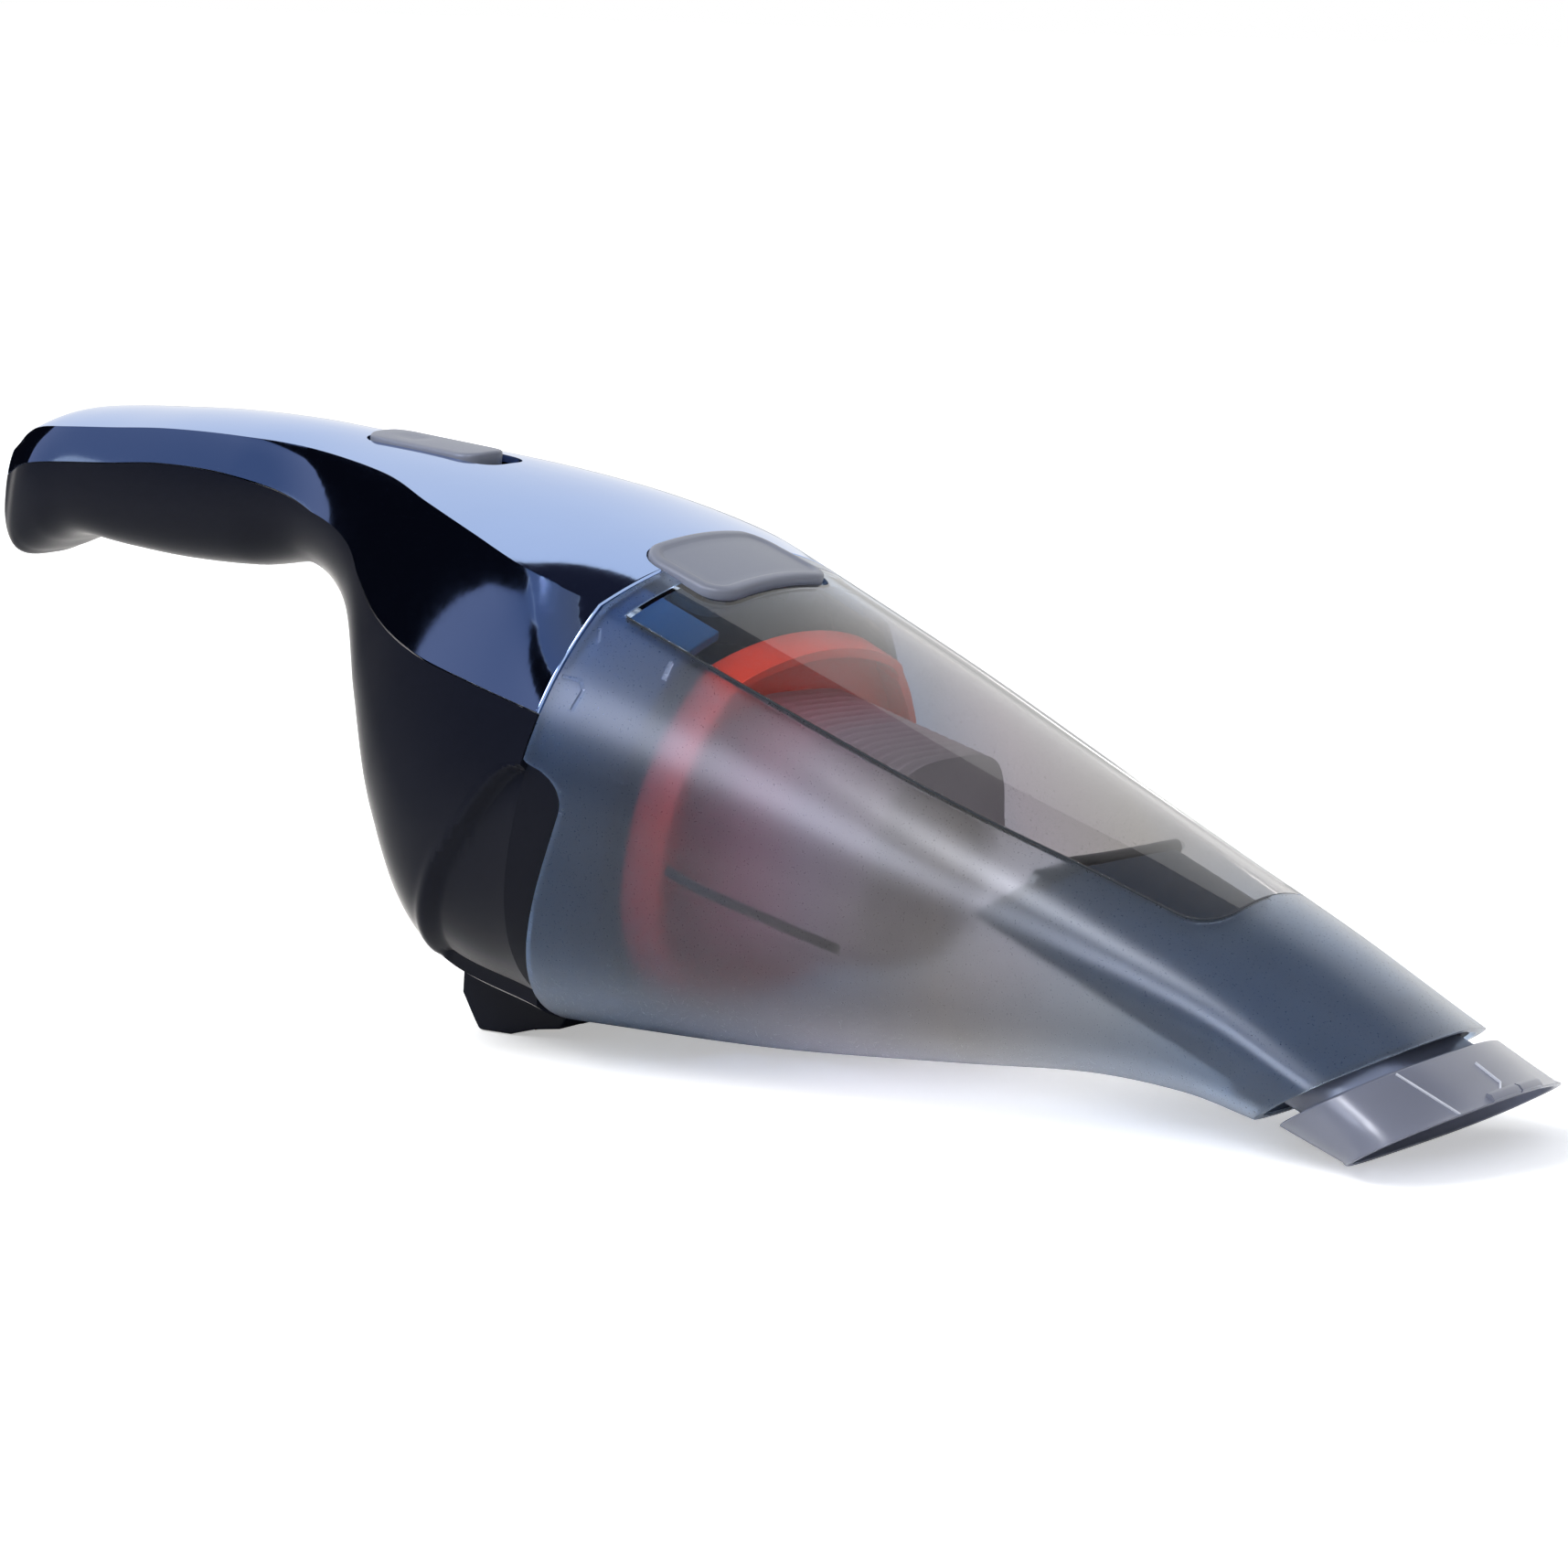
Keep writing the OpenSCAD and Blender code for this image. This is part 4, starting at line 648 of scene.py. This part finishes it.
# Painted shade: along its length the bowl is tinted dark blue at its rear, up to about 75 mm, and blue again
# from about 170 mm on, with warm grey between. The blue ends stand in for the dark collar and duct that show
# through the wall and for shade low at the rear, on top of the plastic's own smoke tint.
along(smoke, "X", [(0.045, (0.24, 0.36, 0.58)), (0.075, (0.34, 0.38, 0.48)), (0.100, (0.50, 0.47, 0.52)),
                   (0.140, (0.54, 0.52, 0.49)), (0.170, (0.47, 0.52, 0.60)), (0.205, (0.42, 0.51, 0.65))])
build("bowl_skin", *walled(outer, inner, wrap=True, left_out=opening), smoke, "bowl", "smoke",
      ["dust_bowl"], edge=0.3, angle=50)
mark_paths = ([(0.03, 1.40), (0.12, 1.385), (0.155, 1.42), (0.145, 1.52)],
              [(0.46, 1.09), (0.475, 1.2)], [(0.06, 1.12), (0.10, 1.19)])
catch_marks = [strip_on(bowl_side, path, width=1.0, height=0.5) for path in mark_paths]
# Painted highlight: the moulded marks are paler and bluer than the bowl round them, for the light along their
# ridges; they are the same smoke plastic as the bowl.
mark_smoke = see_through("mark_smoke", (0.62, 0.68, 0.78), 0.12, (0.9, 0.9, 0.95), coat=(1.0, 0.15),
                         coat_ior=1.5)
build("bowl_marks", *joined(*catch_marks), mark_smoke, "bowl", "smoke", edge=0)
weld_corner = WINDOW_CORNER * (1 - np.cos(np.linspace(math.pi / 2, 0.12, 9))) / WINDOW_MM
weld_s = np.concatenate([np.linspace(0.14, WINDOW_S[1] - 0.22, 30), WINDOW_S[1] - weld_corner])
weld_line = [(at, float(bowl_columns(np.array([[at]]))[1][0, 0]) + 0.003) for at in weld_s]
weld_line += [(WINDOW_S[1], weld_line[-1][1] * k) for k in (0.93, 0.8, 0.6, 0.4, 0.2, 0.02)]
line_dark = finish("line_dark", (0.035, 0.04, 0.05), 0.35, grain_mm=0.4, grain=0.1, shine=0.3)
weld = strip_on(bowl_side, weld_line, width=0.55, height=0.06, sunk=1.2)
build("window_weld", *weld, line_dark, "bowl", "smoke", edge=0)
# A near-black strip lies 2 mm inside the bowl's wall, just under its widest line, and shows through the
# frosted wall as a dark line.
inner_line_path = [(0.771, 2.007), (0.956, 2.03), (1.24, 2.053), (1.688, 2.099)]
inner_line_sunk = 2.0
inner_line = strip_on(lambda s, u: skin(section(BOWL, s), -u, inner_line_sunk), inner_line_path, width=2.2, height=-1.6)
inner_line_dark = finish("inner_line_dark", (0.012, 0.012, 0.016), 0.5, grain_mm=0.5, grain=0.1, shine=0.1)
build("bowl_inner_line", *inner_line, inner_line_dark, "bowl", "smoke", edge=0)

# ---- Window ----
# Clear polycarbonate pane welded into the bowl's top and polished on both faces. The weld shows as
# a fine dark line round it, which is made with the bowl. The printed words are left off.
pane_s = bowl_s[(bowl_s >= WINDOW_S[0]) & (bowl_s <= WINDOW_S[1])]
cut_rows = (pane_s[1:] + pane_s[:-1]) / 2 < BUTTON_S
pane_at = pane_s.copy()
pane_at[0] += pane_gap_s
pane_at[-1] -= pane_gap_s


def pane_grid(inset):
    """The part of the bowl's grid between the window's edges, drawn in by the gap all round."""
    s = pane_at[:, None]
    rows = section(BOWL, s)
    notch, pane = bowl_columns(s)
    pane = pane - PANE_GAP / rows[..., 4]
    notch = notch + np.where(s < BUTTON_S + 0.01, PANE_GAP, 0) / rows[..., 4]
    to_notch, to_edge = (np.linspace(0, 1, n + 1)[None, :] for n in bowl_crown[:2])
    u = np.concatenate([notch * to_notch[:, :-1] + 1e-9, notch + (pane - notch) * to_edge], 1)
    return skin(rows, np.concatenate([u[:, :0:-1], -u], 1), inset)


outer, inner = pane_grid(0.0), pane_grid(BOWL_WALL)
left_out = cut_rows[:, None] & (from_middle(outer) < bowl_crown[0])[None, :]
clear = see_through("clear_pane", (0.97, 0.97, 0.97), 0.02, (0.85, 0.85, 0.85), bump=0.03, grain_mm=3)
# Painted see-through colour: the clear pane is tinted blue at its rear end, where the blue collar shows
# through it, and warm grey further forward; the pane itself is clear.
along(clear, "X", [(0.045, (0.42, 0.58, 0.80)), (0.065, (0.48, 0.56, 0.68)),
                   (0.085, (0.60, 0.57, 0.57)), (0.200, (0.56, 0.55, 0.55))])
build("window_pane", *walled(outer, inner, left_out=left_out), clear, "bowl", "clear", ["bowl_window"],
      edge=0.25, angle=50)

# ---- Front collar ----
# Ledge moulded on the pod's front that the bowl slides over, open at the top under the button. It
# shows dark in the finger scallops and through the bowl's rear end.
collar_out, collar_in, collar_open = 2.7, 4.9, 11  # mm inside the bowl's outer face, and columns left open
ring_u = bowl_half_u(np.array([[0.05]]), (8, 10, 3))[0]


def ring_at(x, inset):
    """Closed ring inside the bowl, x mm forward of the joint."""
    return closed_ring(section(BOWL, np.array(x)[:, None] / PITCH), ring_u[None, :], inset)


# Painted light and shade: the collar is near black up to 70 mm high and turns blue towards its top at 110 mm,
# so that it reads dark through the lower bowl and blue through the window.
collar_shaded_blue = along(finish("collar_shaded_blue", (0.9, 0.9, 0.9), 0.4, grain_mm=0.4, grain=0.3, shine=0.1), "Z",
                    [(0.070, (0.005, 0.006, 0.012)), (0.085, (0.02, 0.05, 0.10)), (0.110, (0.06, 0.15, 0.30))])
collar_x = np.array([-0.35, 3, 6, 9, 12, 15, 19, 23])
outer, inner = ring_at(collar_x, collar_out), ring_at(collar_x, collar_in)
left_out = np.repeat((ring_column(outer.shape[1]) < collar_open)[None, :], len(collar_x) - 1, 0)
build("collar_skin", *walled(outer, inner, wrap=True, left_out=left_out), collar_shaded_blue, "body", "housing",
      ["front_collar"], edge=0.4)

# ---- Filter frame ----
# Red moulding: a wide rim that follows the bowl's section, a plate across it and a round neck
# that pushes into the seal on the bulkhead.
rim_x, rim_out, rim_in = np.array([24.4, 26, 28.5, 31, 33.4]), 8.8, 10.8
neck_x, neck_out, neck_in = (17.8, 27.8), 32, 30
web_mm = 2
frame_red = finish("frame_red", (0.90, 0.05, 0.015), 0.3, grain_mm=0.6, grain=0.15, drift=0.06)
rim = walled(ring_at(rim_x, rim_out), ring_at(rim_x, rim_in), wrap=True)

# Where the motor's axis meets the joint, in mm, and how the axis leans
JOINT_C, JOINT_LEAN = np.array([37.5, 0, 59]), math.radians(14.2811)


def at_joint(points):
    """Points in the motor's frame (mm) moved to the object's frame (metres)."""
    c, s = math.cos(JOINT_LEAN), math.sin(JOINT_LEAN)
    turn = np.array([[c, 0, s], [0, 1, 0], [-s, 0, c]])
    return (np.asarray(points) @ turn.T + JOINT_C) * 0.001


def along_x(profile, around=96):
    """Profile of (x, radius) turned about the motor's axis; the profile is closed."""
    angle = np.linspace(0, 2 * math.pi, around, endpoint=False)
    x, r = np.array(profile).T
    points = np.stack([x[:, None] + 0 * angle, r[:, None] * np.cos(angle), r[:, None] * np.sin(angle)], -1)
    n, m = points.shape[:2]
    return at_joint(points).reshape(-1, 3), np.stack(cells(n, m, n, m), -1).reshape(-1, 4)


neck = along_x([(neck_x[0], neck_out), (neck_x[1], neck_out), (neck_x[1], neck_in), (neck_x[0], neck_in)])
round_neck = np.linspace(0, 2 * math.pi, outer.shape[1], endpoint=False)
rim_mid = ring_at(rim_x[1:2], (rim_out + rim_in) / 2)[0]
neck_ring = at_joint(np.stack([0 * round_neck + neck_x[1] - web_mm / 2, -neck_out * np.sin(round_neck),
                               neck_out * np.cos(round_neck)], -1))
web = np.stack([neck_ring + (rim_mid - neck_ring) * t for t in np.linspace(0, 1, 6)])
web_back = web - np.array([0.001 * web_mm, 0, 0])
build("filter_rim", *joined(rim, neck, walled(web, web_back, wrap=True)), frame_red, "filter", "rim_red",
      ["filter_frame"], edge=0.3)

# ---- Pleated filter ----
# Grey filter cloth folded into shallow pleats round a hollow core. It is glued to the red frame at
# its wide end and closed at its narrow front end.
pleats, pleat_mm, points_round = 16, 1.6, 120
cloth_x, cloth_long, cloth_top = 27.9, 44, 32
cloth_half, narrows, rises, squareness = 33, 8, 15, 3.2
fold = np.linspace(0, 1, pleats * 8 + 1)
wave = (0.5 - 0.5 * np.cos(fold * 2 * pleats * math.pi)) ** 0.8 * pleat_mm
low, half_w = -cloth_top + rises * fold, cloth_half - narrows * fold - wave
tall = (cloth_top - low) / 2 - wave
angle = np.linspace(0, 2 * math.pi, points_round, endpoint=False)
across, up = (np.sign(turn) * np.abs(turn) ** (2 / squareness) for turn in (np.cos(angle), np.sin(angle)))
cloth = np.stack([cloth_x + cloth_long * fold[:, None] + 0 * across, half_w[:, None] * across,
                  ((cloth_top + low) / 2)[:, None] + tall[:, None] * up], -1)
wide_end, narrow_end = cloth[:1].copy(), cloth[-1:].copy()
wide_end[..., 1:] *= 0.8
narrow_end[..., 1:] = (0, 7.5)
cloth = at_joint(np.concatenate([wide_end, cloth, narrow_end]))
cloth_grey = finish("filter_cloth", (0.9, 0.9, 0.9), 0.85, grain_mm=0.5, grain=0.9, shine=0.1, drift=0.1)
# Painted glow: the cloth is red next to the red frame and fades through pink to grey by 115 mm, for the
# frame's red glow through the frosted bowl; the cloth itself is grey.
along(cloth_grey, "X", [(0.060, (0.60, 0.07, 0.06)), (0.078, (0.54, 0.23, 0.28)),
                        (0.094, (0.47, 0.39, 0.46)), (0.115, (0.44, 0.43, 0.47))])
merge(build("pleat_cloth", *sheet_faces(cloth), cloth_grey, "filter", "filter_cloth", ["pleated_filter"],
            edge=0, angle=60))

# ---- Intake duct ----
# Dark tube inside the bowl that carries the dirt from the nozzle up to the flap. Its flange is
# welded in behind the bowl's mouth.

# Middle of the mouth (x, z in mm), slope of the nozzle's slide, and lean of the mouth
MOUTH, SLOPE, LEAN = np.array([224.75, 16.5]), math.radians(23), math.radians(29.3961)


def slide_row(d, depth, width, crease, crown, roundness):
    """Section row parallel to the bowl's mouth, d mm along the nozzle's slide."""
    c = MOUTH + d * np.array([math.cos(SLOPE), -math.sin(SLOPE)])
    e = np.array([math.cos(LEAN), math.sin(LEAN)]) * depth / 2
    return np.array([*(c + e), *(c - e), crease, crown, width / 2, 0.5, roundness, 0])


slide_u = np.concatenate([np.linspace(1e-9, 1, 13), np.linspace(1, 2, 11)[1:], np.linspace(2, 3, 21)[1:]])


def slide_rings(rows, inset):
    """Closed rings on section rows, each with its own inset."""
    return closed_ring(np.array(rows)[:, None, :], slide_u[None, :], np.array(inset, float)[:, None])


def tube(d):
    """The nozzle tube's section at d."""
    return slide_row(d, depth=23.98, width=56, crease=16.5, crown=0.8, roundness=3.5)


# Insets from the nozzle's tube, which the duct stands round, and from the bowl at the flange
duct_out, duct_in, flange_in = -2.2, -0.4, 2.7
flange = [section(BOWL, np.array(k)) for k in (4.6, 4.97)]
spots = (-81, -60, -40, -25, -12)
outer = slide_rings([tube(d) for d in spots] + flange, [duct_out] * len(spots) + [flange_in] * 2)
inner = slide_rings([tube(d) for d in spots + (-8, -1)], [duct_in] * (len(spots) + 2))
duct_navy = finish("duct_navy", (0.028, 0.042, 0.068), 0.5, grain_mm=0.6, grain=0.2, shine=0.05)
build("duct_tube", *walled(outer, inner, wrap=True), duct_navy, "bowl", "duct", ["intake_duct"], edge=0.4)

# ---- Crevice nozzle ----
# Grey translucent push-in nozzle: a flat tube that slides in the duct, and a head that flares to
# a slanted lip. A raised bar crosses its top, and fine moulded lines mark its top and side.
# Rows of the head and of its floor: mm along the slide, depth, width, crease, crown, roundness
head = [slide_row(*row) for row in ((4.3, 37.2, 68, 20, 3.8, 3), (13, 34.75, 70, 18.8, 3.35, 2.95),
                                    (20.5, 32.6, 71.7, 17.8, 2.95, 2.9), (22, 32.2, 72, 17.6, 2.9, 2.9))]
head_floor = slide_row(7, 36.5, 68, 20, 3.8, 3)
tube_part = [tube(d) for d in (-62, -30, 4)]
outer = slide_rings(tube_part + head, [0, 0, 0, 0.5, 0.5, 0.5, 0])
inner = slide_rings(tube_part + [head_floor] + head[1:], [1.8, 1.8, 1.8, 2.2, 2.2, 1.8, 1.8])
nozzle_smoke = see_through("nozzle_smoke", (0.25, 0.265, 0.34), 0.3, (0.6, 0.62, 0.68), bump=0.02,
                           grain_mm=0.6, clear=0.4, coat=(1.0, 0.24), coat_ior=1.5)
build("nozzle_skin", *walled(outer, inner, wrap=True), nozzle_smoke, "nozzle", "nozzle", ["crevice_nozzle"],
      edge=0.5, angle=35)


def head_side(s, u):
    """A point on the nozzle's head, s from its rear edge at 0 to its lip at 1; u below 0 is the left side."""
    return skin(head[0] + (head[-1] - head[0]) * np.asarray(s)[..., None], -u)


bar_s, bar_paths = 0.91, ((0.56, 0.3, 0.02), (-0.02, -0.3, -0.56))
bars = [strip_on(head_side, [(bar_s, u) for u in path], width=2.4, height=0.9, sunk=0.3) for path in bar_paths]
line_paths = ([(0.04, 1.09), (0.5, 1.08), (0.97, 1.07)], [(0.3, 0.12), (0.72, 0.12), (0.86, 0.3)])
lines = [strip_on(head_side, path, width=0.35, height=0.16) for path in line_paths]
# Painted highlight: the fine moulded lines are pale against the grey nozzle, for the light along their crests;
# they are moulded in the nozzle's own plastic.
line_pale = finish("line_pale", (0.62, 0.64, 0.72), 0.35, grain_mm=0.5, grain=0.1)
build("nozzle_bar", *joined(*bars), nozzle_smoke, "nozzle", "nozzle", edge=0)
build("nozzle_lines", *joined(*lines), line_pale, "nozzle", "nozzle", edge=0)

# ---- Inside parts ----
# The plain parts behind the skins keep their CAD shape: moulded trays and bulkhead, turned motor
# parts, wound armature, wrapped cells, board. Each gets the finish that it has in a real vacuum.
inside = (
    (finish("dark_moulding", (0.014, 0.032, 0.055), 0.5, grain_mm=0.5, grain=0.4),
     "latch_tray", "bulkhead", "fan_housing", "cell_holder", "microswitch"),
    (finish("seal_rubber", (0.03, 0.03, 0.032), 0.8, grain_mm=0.4, grain=0.6, shine=0.3), "filter_seal"),
    (finish("white_moulding", (0.7, 0.69, 0.64), 0.42, grain_mm=0.6, grain=0.2), "impeller", "motor_end_cap"),
    (finish("bright_steel", (0.55, 0.56, 0.57), 0.28, grain_mm=0.25, grain=0.15, metallic=1.0),
     "release_spring", "motor_shaft", "motor_can", "motor_screws", "cell_contacts", "flap_pin"),
    (finish("copper_winding", (0.55, 0.22, 0.08), 0.35, grain_mm=0.4, grain=1.0, metallic=1.0), "armature"),
    (finish("cell_wrap", (0.05, 0.30, 0.14), 0.35, grain_mm=1.5, grain=0.1), "battery_cells"),
    (finish("board_green", (0.01, 0.12, 0.05), 0.4, grain_mm=1.0, grain=0.4), "circuit_board"),
    (finish("contact_gold", (0.75, 0.52, 0.2), 0.25, grain_mm=0.3, grain=0.1, metallic=1.0),
     "charging_contacts"),
    (finish("flap_rubber", (0.01, 0.014, 0.022), 0.35, grain_mm=0.6, grain=0.2), "intake_flap"))
for material, *names in inside:
    for node_name in names:
        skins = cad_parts[node_name].data.materials
        skins.clear()
        skins.append(material)

# ---- Floor, light and camera ----
# White floor that keeps the object's shadow, a white surround, and two soft lamps above. Cards that
# only gloss sees give the plating and the smoked plastics their dark and bright bands.
floor_half, floor_z = 6, -0.0002
glow_near, glow_far = (0.6, 0.42), (2.2, 1.0)  # metres from the middle, and the glow there
floor_mesh = bpy.data.meshes.new("floor")
corners = [(x * floor_half, y * floor_half, floor_z) for x, y in ((-1, -1), (1, -1), (1, 1), (-1, 1))]
floor_mesh.from_pydata(corners, [], [(0, 1, 2, 3)])
floor = added("floor", floor_mesh)
floor_mat, nt = new_material("floor_white")
body = put(nt.nodes["Principled BSDF"], Base_Color=(0.9, 0.9, 0.9, 1), Roughness=0.9, Specular_IOR_Level=0)


def either(nt, *kinds):
    """Whether a ray is of one of the kinds: the larger of their signals, by a chain of Maximum nodes."""
    ray = new_node(nt, "LightPath")
    signal = ray.outputs[f"Is {kinds[0]} Ray"]
    for kind in kinds[1:]:
        larger = new_node(nt, "Math")
        larger.operation = "MAXIMUM"
        nt.links.new(signal, larger.inputs[0])
        nt.links.new(ray.outputs[f"Is {kind} Ray"], larger.inputs[1])
        signal = larger.outputs[0]
    return signal


glow = new_node(nt, "Emission")
gain = new_node(nt, "Math")
gain.operation = "MULTIPLY"
place = new_node(nt, "TexCoord")
away = new_node(nt, "VectorMath")
away.operation = "LENGTH"
far = new_node(nt, "MapRange", From_Min=glow_near[0], To_Min=glow_near[1],
          From_Max=glow_far[0], To_Max=glow_far[1])
nt.links.new(place.outputs["Object"], away.inputs[0])
nt.links.new(away.outputs["Value"], far.inputs["Value"])
nt.links.new(far.outputs["Result"], gain.inputs[1])
add = new_node(nt, "AddShader")
nt.links.new(either(nt, "Camera", "Transmission"), gain.inputs[0])
nt.links.new(gain.outputs[0], glow.inputs["Strength"])
nt.links.new(body.outputs["BSDF"], add.inputs[0])
nt.links.new(glow.outputs["Emission"], add.inputs[1])
nt.links.new(add.outputs["Shader"], nt.nodes["Material Output"].inputs["Surface"])
floor_mesh.materials.append(floor_mat)


def reflected_card(name, outline, away=4.0, ups=25, turns=49):
    """Part of a sphere round the object, away metres off, that only gloss sees. outline = rows of (height,
    first azimuth, last azimuth, first glow, last glow), angles in degrees and glows as colours, with even
    steps between them."""
    rise = np.array([row[0] for row in outline], float)
    high = np.linspace(rise[0], rise[-1], ups)
    between = np.linspace(0, 1, turns)[:, None]
    turn, glow = [], []
    for k in (0, 1):
        turn.append(np.interp(high, rise, [row[1 + k] for row in outline]))
        ends = [row[3 + k] for row in outline]
        glow.append(np.stack([np.interp(high, rise, [end[c] for end in ends]) for c in range(3)], -1))
    turn = np.radians(turn[0] + (turn[1] - turn[0]) * between)
    colour = glow[0] + (glow[1] - glow[0]) * between[..., None]
    high = np.radians(high + 0 * turn)
    points = away * np.stack([np.cos(turn) * np.cos(high), np.sin(turn) * np.cos(high), np.sin(high)], -1)
    quads = np.stack(cells(turns, ups, turns - 1, ups - 1), -1).reshape(-1, 4)
    mesh = bpy.data.meshes.new(name)
    mesh.from_pydata(points.reshape(-1, 3).tolist(), [], quads.tolist())
    painted = mesh.color_attributes.new("glow", "FLOAT_COLOR", "POINT")
    painted.data.foreach_set("color", np.concatenate([colour, np.ones((turns, ups, 1))], -1).ravel())
    card = added(name, mesh)
    mat, nt = new_material(name)
    shine, paint = new_node(nt, "Emission"), new_node(nt, "Attribute")
    paint.attribute_name = "glow"
    nt.links.new(paint.outputs["Color"], shine.inputs["Color"])
    nt.links.new(shine.outputs["Emission"], nt.nodes["Material Output"].inputs["Surface"])
    mesh.materials.append(mat)
    card.visible_camera = card.visible_diffuse = card.visible_transmission = card.visible_shadow = False


black, panel, dim = (0.004, 0.004, 0.006), (0.24, 0.25, 0.32), (0.12, 0.155, 0.24)
upper, ceiling = (0.16, 0.165, 0.19), (0.02, 0.02, 0.03)
black_rows = ((0.1, 150, 190), (10, 158, 199), (20, 170, 208), (26, 178, 216), (34, 186, 241), (36, 188, 241))
dim_rows = ((0.1, 232, 306), (10, 236, 306), (20, 240, 306), (26, 244, 306), (34, 250, 306), (36, 250, 306))
reflected_card("black_card", [(*row, black, black) for row in black_rows])
reflected_card("panel_card", [(0.1, 190, 232, panel, dim), (10, 199, 236, panel, dim),
                              (20, 208, 240, panel, dim), (26, 216, 244, panel, dim),
                              (34, 241, 250, dim, dim), (36, 241.5, 250, dim, dim)])
reflected_card("dim_card", [(*row, dim, dim) for row in dim_rows])
reflected_card("upper_card", [(36.1, 188, 306, dim, dim), (56.4, 200, 306, upper, upper)])
reflected_card("ceiling_card", [(56.5, 0, 360, ceiling, ceiling), (89.9, 0, 360, ceiling, ceiling)])
bright, fading, near = (24, 25.5, 31), (6, 6.3, 7.5), (22, 22.5, 25)
reflected_card("soft_box", [(25, 255, 276, bright, fading), (39, 255, 276, bright, fading)], away=3.9)
reflected_card("near_box", [(42, 303, 321, near, near), (50, 303, 321, near, near)], away=0.367)

world = bpy.data.worlds.new("studio")
world.use_nodes = True
bpy.context.scene.world = world
nt = world.node_tree
seen = put(nt.nodes["Background"], Color=(1, 1, 1, 1))
lit = new_node(nt, "Background", Color=(0.96, 0.98, 1, 1), Strength=0.6)
pick = new_node(nt, "MixShader")
nt.links.new(either(nt, "Camera", "Glossy", "Transmission"), pick.inputs["Fac"])
nt.links.new(lit.outputs["Background"], pick.inputs[1])
nt.links.new(seen.outputs["Background"], pick.inputs[2])
nt.links.new(pick.outputs["Shader"], nt.nodes["World Output"].inputs["Surface"])


def lamp(name, watts, size, place, aim, colour=(1, 1, 1)):
    """Rectangular lamp at a place, turned to face the aim. Gloss doesn't see it."""
    light = added(name, bpy.data.lights.new(name, "AREA"))
    light.data.energy, light.data.shape, light.data.color = watts, "RECTANGLE", colour
    light.data.size, light.data.size_y = size
    light.location = place
    light.rotation_euler = (Vector(aim) - light.location).to_track_quat("-Z", "Y").to_euler()
    light.visible_glossy = False


lamp("key_light", 22, (1.2, 0.8), (-0.5, -0.9, 1.5), (0.05, 0, 0.06))
lamp("side_light", 3.0, (0.55, 0.35), (-0.17, -1.22, 1.0), (0.12, 0, 0.06), (0.90, 0.93, 1.0))

camera = added("camera", bpy.data.cameras.new("camera"))
camera.data.sensor_width, camera.data.lens = 36, 136.44315
azimuth, height, roll = math.radians(36.157341), math.radians(9.056007), math.radians(0.278389)
right = Vector((math.cos(azimuth), math.sin(azimuth), 0))
back = Vector((math.sin(azimuth) * math.cos(height), -math.cos(azimuth) * math.cos(height), math.sin(height)))
up = back.cross(right)
right, up = right * math.cos(roll) + up * math.sin(roll), up * math.cos(roll) - right * math.sin(roll)
stands = Matrix.Translation(Vector((0.849863, -1.069740, 0.273468)))
camera.matrix_world = stands @ Matrix((right, up, back)).transposed().to_4x4()
bpy.context.scene.camera = camera
bpy.context.scene.view_settings.view_transform = "Standard"
